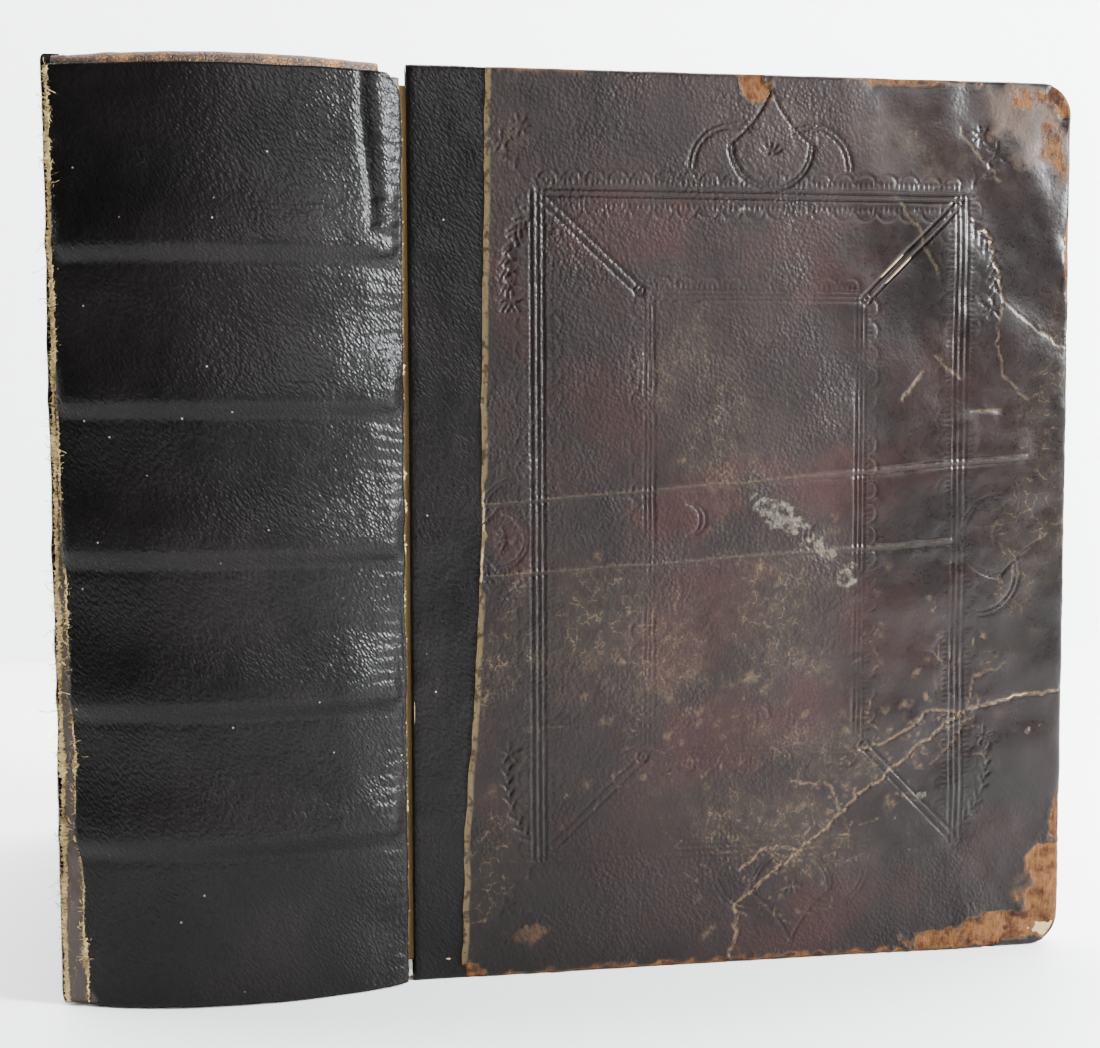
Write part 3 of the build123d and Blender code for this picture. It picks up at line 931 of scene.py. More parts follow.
def make_pebble_grain():
    """Hide grain: rounded pebbles drawn out one way, with finer creases across them."""
    f, given, out = group_tree(
        "pebble_grain",
        [("Size", "NodeSocketFloat", 0.8), ("Stretch", "NodeSocketFloat", 1.7),
         ("Lean", "NodeSocketFloat", 35.0), ("Unevenness", "NodeSocketFloat", 0.3)],
        [("Height", "NodeSocketFloat"), ("Valley", "NodeSocketFloat")])
    vector = f.where()
    warp = f.add("ShaderNodeTexNoise", Vector=vector, Scale=700.0, Detail=2.0).outputs["Color"]
    shifted = f.vector_sum("MULTIPLY_ADD", warp, (0.0005, 0.0005, 0.0005), vector)
    turn = f.add("ShaderNodeVectorRotate", {"rotation_type": "Y_AXIS"}, Vector=shifted,
                 Angle=f.sum("RADIANS", given["Lean"]))
    per_size = f.over(1.0, given["Size"])
    squash = f.add("ShaderNodeCombineXYZ", X=per_size, Y=per_size, Z=f.over(per_size, given["Stretch"]))
    scaled = f.vector_sum("MULTIPLY", turn.outputs[0], squash.outputs[0])
    pebble = f.add("ShaderNodeTexVoronoi", {"feature": "SMOOTH_F1"}, Vector=scaled,
                   Scale=1000.0, Smoothness=0.55).outputs["Distance"]
    seam = f.cells(scaled, 1.0)
    fine = f.add("ShaderNodeTexNoise", Vector=scaled, Scale=2200.0, Detail=3.0).outputs[0]
    broad = f.add("ShaderNodeTexNoise", Vector=vector, Scale=110.0, Detail=2.0).outputs[0]
    mound = f.minus(1.0, pebble)
    uneven = f.times(given["Unevenness"], f.minus(broad, 0.5))
    height = f.times(mound, f.plus(1.0, f.times(uneven, 2.0)))
    height = f.plus(height, f.times(fine, 0.22))
    f.feed(out["Height"], height)
    f.feed(out["Valley"], f.step(seam, 0.0, 0.22, 1.0, 0.0))
    return f.tree


def make_rub_marks():
    """Fine random scratches and scuffs, 0 to 1."""
    f, given, out = group_tree(
        "rub_marks", [("Amount", "NodeSocketFloat", 0.5)], [("Mask", "NodeSocketFloat")])
    vector = f.where()
    marks = []
    for turn, size in ((25, 0.9), (-38, 1.3), (80, 1.1)):
        drawn = f.moved(vector, (1.0, 1.0, 0.14), (0, turn, 0))
        line = f.noise(drawn, size, 3.0, 0.6)
        marks.append(f.step(line, 0.66, 0.74))
    total = f.sum("MAXIMUM", f.sum("MAXIMUM", marks[0], marks[1]), marks[2])
    cloud = f.step(f.noise(vector, 22, 3.0), 0.45, 0.7)
    f.feed(out["Mask"], f.times(f.times(total, cloud), given["Amount"]))
    return f.tree


def make_fibres():
    """Torn leather or board: matted fibres, for colour and height."""
    f, given, out = group_tree(
        "matted_fibres", [("Size", "NodeSocketFloat", 0.5)],
        [("Height", "NodeSocketFloat"), ("Shade", "NodeSocketFloat")])
    vector = f.where()
    scale = f.over(1000.0, given["Size"])
    long_noise = f.add("ShaderNodeTexNoise", Vector=f.moved(vector, (1, 1, 0.25), (20, 35, 0)), Scale=scale,
                       Detail=5.0, Roughness=0.7).outputs[0]
    cross_noise = f.add("ShaderNodeTexNoise", Vector=f.moved(vector, (0.3, 1, 1), (0, -25, 15)), Scale=scale,
                        Detail=5.0, Roughness=0.7).outputs[0]
    f.feed(out["Height"], f.times(long_noise, cross_noise))
    clumps = f.add("ShaderNodeTexNoise", Vector=vector, Scale=f.times(scale, 0.3), Detail=3.0)
    f.feed(out["Shade"], f.plus(f.times(clumps.outputs[0], 0.6),
                               f.times(long_noise, 0.4)))
    return f.tree


PEBBLE = make_pebble_grain()
RUBS = make_rub_marks()
FIBRES = make_fibres()


def new_finish(name):
    """A material with a plain surface shader to build on."""
    material = bpy.data.materials.new(name)
    material.use_nodes = True
    tree = material.node_tree
    shader = tree.nodes["Principled BSDF"]
    return material, Finish(tree), shader.inputs


def coat(f, surface, base, rough, specular, *relief):
    """Sets a surface's colour, roughness and reflection, and stacks its relief: layers of
    (height, depth in millimetres)."""
    f.feed(surface["Base Color"], base)
    f.feed(surface["Roughness"], rough)
    surface["Specular IOR Level"].default_value = specular
    normal = None
    for height, depth in relief:
        node = f.add("ShaderNodeBump", Height=height, Strength=1.0, Distance=depth * MM)
        if normal:
            f.feed(node.inputs["Normal"], normal)
        normal = node.outputs[0]
    if normal:
        f.feed(surface["Normal"], normal)


def brown_calf():
    """Polished old calf: plum brown with red where the dye is left, grey-tan where it is rubbed."""
    material, f, surface = new_finish("worn_brown_calf")
    vector = f.where()
    grain = f.use(PEBBLE, Size=0.95, Stretch=1.2, Lean=20.0, Unevenness=1.0)
    cloud = f.noise(vector, 30, 4.0, 0.6)
    fine = f.noise(vector, 3.2, 5.0, 0.65)
    tooled = f.stored("tooled")
    red = f.clamp(f.times(f.stored("red"), f.step(fine, 0.25, 0.7, 0.5, 1.15)))
    base = f.mix(f.step(cloud, 0.35, 0.65), "#271a18", "#3b2a28")
    base = f.mix(f.times(red, 0.62), base, "#522723")
    olive = f.times(f.stored("worn"), f.step(fine, 0.3, 0.7, 0.1, 0.7))
    base = f.mix(f.clamp(olive), base, "#62523f")
    # Random darkening of the base colour, multiplied by the painted shade stored on the piece.
    tone_and_painted_shade = f.step(f.noise(vector, 50, 3.0), 0.3, 0.7, 0.27, 0.38)
    tone_and_painted_shade = f.times(tone_and_painted_shade, f.stored("shade"))
    tone_and_painted_shade_colour = f.add("ShaderNodeCombineColor", Red=tone_and_painted_shade, Green=tone_and_painted_shade, Blue=tone_and_painted_shade).outputs[0]
    base = f.mix(1.0, base, tone_and_painted_shade_colour, "MULTIPLY")
    rubs = f.use(RUBS, Amount=0.7).outputs[0]
    base = f.mix(f.times(rubs, 0.4), base, "#5a4934")
    base = f.mix(f.times(grain.outputs["Valley"], 0.45), base, "#0a0606")
    pale = f.times(f.stored("pale"), f.step(f.noise(vector, 1.1, 4.0, 0.7), 0.36, 0.6))
    base = f.mix(f.clamp(pale), base, "#6b5740")
    stray = f.add("ShaderNodeTexNoise", Vector=vector, Scale=420.0, Detail=3.0).outputs["Color"]
    strayed = f.vector_sum("MULTIPLY_ADD", stray, (0.004, 0.004, 0.004), vector)
    crazing = f.step(f.cells(strayed, 3.4), 0.01, 0.05, 1.0, 0.0)
    dry = f.step(f.times(f.stored("worn"), f.noise(vector, 9, 4.0, 0.6)), 0.08, 0.3)
    crazing = f.times(f.times(crazing, dry), f.step(fine, 0.46, 0.62))
    base = f.mix(f.times(crazing, 0.40), base, "#624f3a")
    base = f.mix(f.times(tooled, 0.35), base, "#140c0b")
    cut = f.times(f.stored("cut"), f.step(f.noise(vector, 2.2, 3.0), 0.38, 0.5, 0.25, 0.9))
    base = f.mix(cut, base, "#8b7857")
    smear = f.step(f.times(f.stored("smear"), f.step(fine, 0.35, 0.62, 0.3, 1.3)), 0.35, 0.8)
    mottle = f.step(f.noise(vector, 1.5, 4.0, 0.7), 0.38, 0.62, 0.05, 0.5)
    base = f.mix(f.times(smear, mottle), base, "#6a6557")
    threads = f.use(FIBRES, Size=0.9)
    ragged = f.plus(f.stored("bare"), f.times(f.minus(fine, 0.5), 0.5))
    bare = f.step(ragged, 0.34, 0.50)
    halo = f.step(ragged, 0.10, 0.40)
    suede = f.mix(f.step(threads.outputs["Shade"], 0.35, 0.62), "#32190a", "#57391f")
    suede = f.mix(f.step(f.noise(vector, 7, 4.0, 0.6), 0.52, 0.64), suede, "#28160d")
    base = f.mix(f.times(halo, 0.45), base, "#47321f")
    base = f.mix(bare, base, suede)
    rough = f.plus(0.40, f.times(f.minus(fine, 0.5), 0.18))
    rough = f.plus(rough, f.times(grain.outputs["Valley"], 0.06))
    rough = f.plus(rough, f.times(f.sum("MAXIMUM", halo, pale), 0.25))
    rough = f.minus(rough, f.times(tooled, 0.10))
    rough = f.minus(rough, f.times(f.stored("polish"), 0.11))
    rough = f.sum("MAXIMUM", f.sum("MAXIMUM", rough, 0.27), f.times(bare, 0.95))
    depth = f.step(f.noise(vector, 24, 2.0), 0.35, 0.7, 0.5, 1.2)
    depth = f.times(depth, f.minus(1.0, f.times(f.stored("polish"), 0.8)))
    grained = f.times(f.times(grain.outputs["Height"], depth), f.minus(1.0, bare))
    coat(f, surface, base, rough, 0.17, (fine, 0.10), (grained, 0.16),
         (f.times(threads.outputs["Height"], bare), 0.7))
    return material


def black_goat():
    """New goatskin: nearly black, close pebbled grain with a soft gloss."""
    material, f, surface = new_finish("black_goatskin")
    vector = f.where()
    grain = f.use(PEBBLE, Size=0.72, Stretch=1.9, Lean=38.0, Unevenness=0.7)
    cloud = f.noise(vector, 36, 3.0)
    fine = f.noise(vector, 2.4, 4.0, 0.6)
    base = f.mix(f.step(cloud, 0.3, 0.7), "#0a0909", "#141112")
    base = f.mix(f.times(grain.outputs["Valley"], 0.5), base, "#060505")
    rubs = f.use(RUBS, Amount=0.35).outputs[0]
    base = f.mix(f.times(rubs, 0.4), base, "#40372f")
    specks = f.step(f.cells(vector, 7.0, "F1"), 0.045, 0.03)
    base = f.mix(f.times(specks, 0.8), base, "#8f8267")
    rough = f.plus(0.24, f.times(f.minus(fine, 0.5), 0.25))
    rough = f.plus(rough, f.times(grain.outputs["Valley"], 0.15))
    coat(f, surface, base, rough, 0.10, (fine, 0.05), (grain.outputs["Height"], 0.15))
    return material


def torn_leather():
    """The pale inside of split leather."""
    material, f, surface = new_finish("torn_cream_leather")
    vector = f.where()
    threads = f.use(FIBRES, Size=0.6)
    dirt = f.step(f.noise(vector, 5, 4.0, 0.65), 0.40, 0.68)
    base = f.mix(f.step(threads.outputs["Shade"], 0.3, 0.65), "#846d46", "#b8a273")
    base = f.mix(f.times(dirt, 0.6), base, "#3f2d1c")
    coat(f, surface, base, 0.92, 0.2, (threads.outputs["Height"], 0.5))
    return material


def crazed_leather():
    """Dry tan leather of the caps: dark skin crazed and flaked to tan beneath."""
    material, f, surface = new_finish("crazed_tan_leather")
    vector = f.where()
    warped = f.moved(vector, (1, 1, 1.4), (0, 0, 0))
    cracks = f.step(f.cells(warped, 1.3), 0.02, 0.12, 1.0, 0.0)
    flakes = f.step(f.noise(vector, 6.5, 6.0, 0.75), 0.46, 0.62)
    shade = f.noise(vector, 1.2, 4.0, 0.7)
    skin = f.mix(shade, "#241812", "#573c28")
    tan = f.mix(shade, "#6d4524", "#9c7147")
    base = f.mix(flakes, skin, tan)
    base = f.mix(f.times(cracks, 0.4), base, "#1b110b")
    coat(f, surface, base, f.plus(0.6, f.times(flakes, 0.3)), 0.5,
         (f.minus(1.0, cracks), 0.25), (f.minus(1.0, flakes), 0.12), (shade, 0.1))
    return material


def old_shoulder_leather():
    """The first binding's leather left at the joint: dark, shrunken and wrinkled."""
    material, f, surface = new_finish("shrunken_dark_leather")
    vector = f.where()
    wrinkle = f.noise(f.moved(vector, (1, 1, 0.35), (0, 12, 0)), 1.8, 5.0, 0.65, 0.8)
    shade = f.noise(vector, 6, 4.0, 0.6)
    base = f.mix(shade, "#17100d", "#3a281d")
    base = f.mix(f.step(wrinkle, 0.58, 0.72), base, "#7a5c3c")
    coat(f, surface, base, 0.62, 0.5, (wrinkle, 0.5))
    return material


def aged_paper(name, light, dark, brown, leaf_lines):
    """Old laid paper: toned in clouds, foxed, with laid lines."""
    material, f, surface = new_finish(name)
    vector = f.where()
    cloud = f.noise(vector, 60, 4.0, 0.6)
    base = f.mix(f.step(cloud, 0.3, 0.7), light, dark)
    foxing = f.step(f.noise(vector, 4.5, 3.0, 0.5), 0.68, 0.76)
    area = f.step(f.noise(vector, 45, 2.0), 0.5, 0.65)
    base = f.mix(f.times(f.times(foxing, area), 0.7), base, brown)
    laid = f.add("ShaderNodeTexWave", {"bands_direction": "Z"}, Vector=vector, Scale=150.0, Distortion=0.4,
                 Detail=1.0).outputs["Fac"]
    base = f.mix(f.times(laid, 0.05), base, brown)
    fibre = f.noise(vector, 0.5, 4.0, 0.7)
    base = f.mix(f.times(f.step(fibre, 0.6, 0.8), 0.15), base, brown)
    if leaf_lines:
        edge = f.noise(f.moved(vector, (1, 0.02, 0.02)), 0.5, 3.0, 0.7)
        base = f.mix(f.step(edge, 0.5, 0.75, 0.0, 0.5), base, brown)
        soot = f.step(f.noise(f.moved(vector, (1, 0.3, 0.3)), 9, 3.0), 0.5, 0.75)
        base = f.mix(f.times(soot, 0.35), base, "#5d4a33")
    coat(f, surface, base, 0.88, 0.25, (laid, 0.02), (fibre, 0.05), (cloud, 0.6))
    return material


def pressed_board():
    """Pasteboard: pressed plies of waste paper."""
    material, f, surface = new_finish("pressed_pasteboard")
    vector = f.where()
    plies = f.noise(f.moved(vector, (0.15, 1, 0.15)), 0.6, 4.0, 0.7)
    speckle = f.noise(vector, 1.4, 5.0, 0.7)
    base = f.mix(plies, "#6d5638", "#a68d66")
    base = f.mix(f.step(speckle, 0.6, 0.7), base, "#4c3b27")
    coat(f, surface, base, 0.93, 0.5, (plies, 0.2), (speckle, 0.1))
    return material


def twisted(name, light, dark, pitch, slant):
    """Thread or cord: strands that wind round its length."""
    material, f, surface = new_finish(name)
    vector = f.where()
    slanted = f.moved(vector, (1, 1, 1), (0, slant, 0))
    lay = f.add("ShaderNodeTexWave", Vector=slanted, Scale=1000.0 / pitch / 6.3,
                Distortion=1.2, Detail=2.0).outputs["Fac"]
    fuzz = f.noise(vector, 0.4, 4.0, 0.7)
    base = f.mix(lay, dark, light)
    base = f.mix(f.times(fuzz, 0.4), base, dark)
    coat(f, surface, base, 0.85, 0.5, (lay, 0.15), (fuzz, 0.08))
    return material


def plain_ground(name, code, rough, one_sided):
    """Matt white; a one-sided ground is clear from behind."""
    material, f, surface = new_finish(name)
    tint = f.noise(f.where(), 300, 3.0)
    coat(f, surface, f.mix(f.times(tint, 0.12), code, "#c9cac8"), rough, 0.3)
    if one_sided:
        clear = f.add("ShaderNodeBsdfTransparent").outputs[0]
        behind = f.add("ShaderNodeNewGeometry").outputs["Backfacing"]
        solid = f.tree.nodes["Principled BSDF"].outputs[0]
        both = f.feed_all(f.add("ShaderNodeMixShader"), behind, solid, clear)
        f.feed(f.tree.nodes["Material Output"].inputs[0], both)
    return material


BROWN_CALF = brown_calf()
BLACK_GOAT = black_goat()
TORN = torn_leather()
CRAZED = crazed_leather()
SHOULDER = old_shoulder_leather()
LEAF_PAPER = aged_paper("aged_leaf_paper", "#b5a17a", "#9f8860", "#6b4d29", False)
EDGE_PAPER = aged_paper("leaf_edge_paper", "#99825a", "#7a6340", "#4d3820", True)
END_PAPER = aged_paper("aged_endpaper", "#a59068", "#8c754e", "#5d4224", False)
PASTEBOARD = pressed_board()
HEMP = twisted("twisted_hemp", "#b39c6d", "#6a5433", 0.9, 35)
LINEN = twisted("waxed_linen_thread", "#c9b88e", "#85704a", 0.5, 30)
SILK_TAN = twisted("faded_tan_silk", "#a6814d", "#5f4222", 0.35, 80)
SILK_CREAM = twisted("faded_cream_silk", "#d6c79f", "#9b8558", 0.35, 80)


# ---------------------------------------------------------------- camera, light and ground
def aim_camera():
    """Seen from just left of the joint, turned a little towards the open board."""
    hinge = strip_low
    eye = Vector((hinge[0] - 38.7, hinge[1] - 460.0, 159.0)) * MM
    yaw, pitch, roll = (math.radians(a) for a in (9.53, 4.0, -0.2))
    ahead = Vector((math.sin(yaw) * math.cos(pitch), math.cos(yaw) * math.cos(pitch), -math.sin(pitch)))
    right = Vector((math.cos(yaw), -math.sin(yaw), 0))
    above = right.cross(ahead)
    rolled_right = right * math.cos(roll) + above * math.sin(roll)
    rolled_above = above * math.cos(roll) - right * math.sin(roll)
    turned = Matrix((rolled_right, rolled_above, -ahead)).transposed().to_4x4()
    lens = bpy.data.cameras.new("camera")
    lens.sensor_width = 36.0
    lens.lens = 55.6
    lens.clip_start = 0.01
    camera = show("camera", lens)
    camera.matrix_world = Matrix.Translation(eye) @ turned
    bpy.context.scene.camera = camera


def soft_light(name, place, target, size, power, tint=(1, 1, 1)):
    lamp = bpy.data.lights.new(name, "AREA")
    lamp.shape = "RECTANGLE"
    lamp.size, lamp.size_y = size
    lamp.energy = power
    lamp.color = tint
    holder = show(name, lamp)
    holder.location = place
    holder.rotation_euler = (Vector(target) - Vector(place)).to_track_quat("-Z", "Y").to_euler()


def light_room():
    world = bpy.data.worlds.new("room")
    world.use_nodes = True
    f = Finish(world.node_tree)
    seen = f.add("ShaderNodeLightPath").outputs["Is Camera Ray"]
    sky = world.node_tree.nodes["Background"].inputs
    sky[0].default_value = (0.93, 0.96, 1.0, 1.0)
    f.feed(sky[1], f.plus(0.07, f.times(seen, 1.3)))
    bpy.context.scene.world = world
    middle = (0, 0, 0.12)
    soft_light("window", (0.96, -0.58, 0.55), middle, (0.28, 0.42), 92, (0.95, 0.98, 1.0))
    soft_light("side_sky", (0.40, -1.45, 0.66), middle, (0.8, 0.30), 12, (0.95, 0.98, 1.0))
    soft_light("ceiling", (0.1, 0.22, 1.25), (0.1, 0.14, 0), (2.6, 0.4), 58)
    soft_light("wall_wash", (0.1, 0.24, 0.9), (0.1, 0.55, 0.35), (2.4, 0.2), 16)


def lay_ground():
    """A white table top against a white wall."""
    far = cad_box[1][1] + 0.44
    for name, points, code, rough in (
        ("table_top", [(-3, -3, 0), (3, -3, 0), (3, far, 0), (-3, far, 0)], "#f1f2f1", 0.5),
        ("wall", [(-3, far, 0), (3, far, 0), (3, far, 2.5), (-3, far, 2.5)], "#eef0ef", 0.8),
    ):
        mesh = bpy.data.meshes.new(name)
        mesh.from_pydata(points, [], [(0, 1, 2, 3)])
        ground = show(name, mesh)
        ground.data.materials.append(plain_ground(name + "_white", code, rough, name == "wall"))


# ---------------------------------------------------------------- the covers
def make_covers():
    """Old leather on each board, and the black strip that the new spine leather laps onto it."""
    whole = lambda up: BOARD_WIDTH - EDGE_ROLL + up * 0
    front = front_face()
    piece = board_hide("front_cover", front_place, front, front_height, joint_line, whole,
                       (94, 138), (0.12, 0.42), True)
    finish_piece(piece, "front_board", BROWN_CALF, "brown_leather", "front_cover_leather")
    rear = rear_face()
    piece = board_hide("rear_cover", rear_place, rear, rear_height, joint_line, whole,
                       (80, 118), (0.12, 0.45), True)
    finish_piece(piece, "rear_board", BROWN_CALF, "brown_leather", "rear_cover_leather")
    start = lambda up: 0.0 + up * 0
    under = lambda up: joint_line(up) + 1.6
    for side, place in (("front", front_place), ("rear", rear_place)):
        blank = Face(40, BOARD_HEIGHT)
        piece = board_hide(f"{side}_joint_leather", place, blank, strip_height, start, under,
                           (20, 220), (), False)
        finish_piece(piece, f"{side}_board", BLACK_GOAT, "black_leather", f"{side}_joint_strip")


# ---------------------------------------------------------------- the spine
def band_swell(z):
    """The raised bands: the leather slopes down to each from above and is pressed in close below it."""
    swell = z * 0
    for band in BAND_HEIGHTS:
        above = np.exp(-(np.maximum(z - band, 0) / 12.0) ** 2)
        below = np.exp(-(np.maximum(band - z, 0) / 3.9) ** 2)
        swell = swell + BAND_RISE * np.where(z > band, above, below)
        swell = swell - 0.35 * np.exp(-((z - band + 5.2) / 1.7) ** 2)
    return swell


def spine_relief(x, z):
    """How far the black spine leather stands out from its plain round."""
    edge = np.minimum(HALF_SPINE - np.abs(x), 14)
    relief = band_swell(z) * rise(edge, 0.0, 5.0)
    relief = relief + 0.22 * crumpled(x, z, 30, 101, 2) + 0.10 * crumpled(x, z * 0.7, 9, 103, 3)
    sag = 0.35 * np.cos((z - 20) / 40.0 * 2 * math.pi)
    relief = relief - 0.25 * sag * rise(edge, 0, 10)
    fold_x = 36.0 - 1.0 * np.sin(z / 9.0)
    near_top = rise(z, 203, 212)
    relief = relief - 0.55 * np.exp(-((x - fold_x) / 1.3) ** 2) * near_top
    relief = relief + 0.65 * np.exp(-((x - fold_x - 4.4) / 2.8) ** 2) * near_top
    for centre, height in ((207, 0.55), (200, 0.4), (213, 0.35)):
        ridge = np.exp(-((z - centre - 0.35 * (x - 41)) / 1.3) ** 2)
        relief = relief + height * ridge * rise(x, 36, 39) * rise(-x, -45.5, -43)
    loose = rise(x, 28, 40)
    relief = relief + 0.55 * loose * patchy(x * 0.6, z, 16, 108) + 0.25 * loose * patchy(x, z, 6, 109)
    wrinkles = np.sin(z * 1.9 + 3 * patchy(x, z, 12, 111)) * rise(x, 33, 42)
    relief = relief + 0.09 * wrinkles
    return relief * rise(edge, -0.1, 1.5)


def spine_left_edge(z):
    """The new leather stops short of the rear joint, more so towards the tail."""
    heights = (0, 30, 60, 110, 170, 250)
    places = (-39.6, -40.2, -41.6, -43.0, -44.4, -45.2)
    return np.interp(z, heights, places) + 0.30 * patchy(z, z * 0, 8, 120) + 0.15 * patchy(z, z * 0, 2, 121)


def spine_right_edge(z):
    """The new leather's edge at the front joint, cut away towards the head."""
    edge = 45.6 + 0.25 * patchy(z, z * 0, 6, 130) + 0.12 * patchy(z, z * 0, 1.8, 131)
    return edge - 5.0 * rise(z, 239, 249.5) ** 2


def make_spine():
    rows = np.linspace(SPINE_FOOT, SPINE_TOP, 352)
    columns = np.linspace(0, 1, 132)
    z, part = np.meshgrid(rows, columns, indexing="ij")
    left = spine_left_edge(z) + 3.0 * rise(-z, -6, 0)
    right = spine_right_edge(z)
    x = left + (right - left) * part
    head = SPINE_TOP - 0.4 - 0.35 * (1 + patchy(x, x * 0, 11, 140))
    foot = SPINE_FOOT + 0.2 + 0.25 * (1 + patchy(x, x * 0, 9, 141))
    z = foot + (head - foot) * (z - SPINE_FOOT) / (SPINE_TOP - SPINE_FOOT)
    outer = on_spine(x, SPINE_RADIUS + spine_relief(x, z), z)
    edge = np.minimum(HALF_SPINE - np.abs(x), 14)
    inner_relief = np.maximum(band_swell(z) * rise(edge, 0, 5) - 0.1, -0.2)
    inner = on_spine(x, SPINE_RADIUS - 0.9 + inner_relief, z)
    piece = tube_piece("spine_hide", outer, inner)
    finish_piece(piece, "text_block", BLACK_GOAT, "black_leather", "spine_leather")


def make_old_shoulders():
    """What is left of the first leather at the joints, beside and beneath the new spine."""
    for name, start, end, sunk in (
        ("old_rear_shoulder", -46.0, -37.5, 0.45), ("old_front_shoulder", 43.6, 45.9, 1.0),
    ):
        z, x = np.meshgrid(np.linspace(1.0, 246.0, 300), np.linspace(start, end, 14), indexing="ij")
        far_edge = np.abs(x) - 44.8
        bulge = 0.35 * crumpled(x, z * 0.5, 5, 150, 3) - 0.5 * rise(far_edge, 0.0, 1.4)
        outer = on_spine(x, SPINE_RADIUS - sunk + bulge * rise(np.abs(x), 38.5, 40), z)
        inner = on_spine(x, SPINE_RADIUS - sunk - 0.7, z)
        piece = tube_piece(name, outer, inner)
        finish_piece(piece, "text_block", SHOULDER, "worn_tan_leather")


def ragged_ribbon(name, z, centre, width, thick, normal_of, seed):
    """A torn edge of leather: a strip of changing width, frayed on both sides.
    centre gives its place on the round, normal_of how far it stands out."""
    generator = np.random.default_rng(seed)
    half = width / 2 * (0.75 + 0.5 * generator.random(len(z)))
    ragged = generator.normal(0, 0.24, (2, len(z)))
    left = centre - half + ragged[0]
    right = centre + half + ragged[1]
    top = normal_of + thick * (0.7 + 0.6 * generator.random(len(z)))
    parts = np.array([0.0, 0.25, 0.5, 0.75, 1.0])
    arch = np.array([0.15, 0.9, 1.0, 0.85, 0.1])
    rough = generator.normal(0, 0.07, (len(z), 5))
    x = left[:, None] + (right - left)[:, None] * parts
    stand = normal_of[:, None] + (top - normal_of)[:, None] * arch + rough
    low = np.broadcast_to((normal_of - 0.5)[:, None], x.shape)
    up = np.broadcast_to(z[:, None], x.shape)
    outer = on_spine(x, SPINE_RADIUS + stand, up)
    inner = on_spine(x, SPINE_RADIUS + low, up)
    return tube_piece(name, outer, inner, smooth=False)


def make_torn_edges():
    """Cream fibre wherever the joints have split."""
    z = np.arange(1.0, 246.5, 0.32)
    wide = rise(crumpled(z, z * 0, 9, 160), -0.5, 0.7)
    at_left = ragged_ribbon("torn_rear_joint", z, -45.6 + 0.2 * patchy(z, z * 0, 10, 161), 0.7 + 1.3 * wide,
                            0.45, z * 0 - 0.55, 162)
    finish_piece(at_left, "text_block", TORN, "worn_tan_leather")
    wide = rise(crumpled(z, z * 0, 7, 165), -0.2, 0.8)
    at_hide = ragged_ribbon("torn_spine_edge", z, spine_left_edge(z) - 0.2, 0.45 + 1.3 * wide, 0.4,
                            z * 0 - 0.25, 166)
    finish_piece(at_hide, "text_block", TORN, "worn_tan_leather")
    busy = np.exp(-((z - 118) / 34) ** 2)
    wide = rise(crumpled(z, z * 0, 5, 168), 0.3 - 0.8 * busy, 0.9)
    at_right = ragged_ribbon("torn_front_joint", z, spine_right_edge(z) + 0.1, 0.12 + 0.9 * wide ** 2, 0.35,
                             z * 0 - 0.45 - 0.5 * (1 - wide), 169)
    finish_piece(at_right, "text_block", TORN, "worn_tan_leather")


# ---------------------------------------------------------------- geometry nodes
class Grower(Nodes):
    """Builds a geometry node tree with named inputs, and turns its result into a plain mesh."""

    def __init__(self, name, inputs):
        super().__init__(bpy.data.node_groups.new(name, "GeometryNodeTree"))
        self.tree.interface.new_socket(name="Geometry", in_out="INPUT", socket_type="NodeSocketGeometry")
        self.identifiers = {}
        for label, (kind, default) in inputs.items():
            socket = self.tree.interface.new_socket(name=label, in_out="INPUT", socket_type=kind)
            socket.default_value = default
            self.identifiers[label] = socket.identifier
        self.tree.interface.new_socket(name="Geometry", in_out="OUTPUT", socket_type="NodeSocketGeometry")
        self.start = self.tree.nodes.new("NodeGroupInput").outputs
        self.end = self.tree.nodes.new("NodeGroupOutput").inputs

    def random(self, low, high, seed, vector=False):
        node = self.add("FunctionNodeRandomValue", {"data_type": "FLOAT_VECTOR" if vector else "FLOAT"})
        first = 0 if vector else 2
        for socket, value in ((first, low), (first + 1, high), ("Seed", seed)):
            self.feed(node.inputs[socket], value)
        return node.outputs[0 if vector else 1]

    def finish(self, geometry, material):
        real = self.add("GeometryNodeRealizeInstances", Geometry=geometry)
        dressed = self.add("GeometryNodeSetMaterial", Geometry=real.outputs[0])
        dressed.inputs["Material"].default_value = material
        self.feed(self.end[0], dressed.outputs[0])

    def grow(self, name, host, **values):
        """Runs the tree on a host object and keeps only the mesh that it makes."""
        modifier = host.modifiers.new("grow", "NODES")
        modifier.node_group = self.tree
        for label, value in values.items():
            modifier[self.identifiers[label.replace("_", " ")]] = value
        graph = bpy.context.evaluated_depsgraph_get()
        mesh = bpy.data.meshes.new_from_object(host.evaluated_get(graph))
        mesh.name = name
        host.modifiers.remove(modifier)
        return show(name, mesh)


def drop(helper):
    """Removes a helper and its mesh."""
    mesh = helper.data
    bpy.data.objects.remove(helper)
    bpy.data.meshes.remove(mesh)


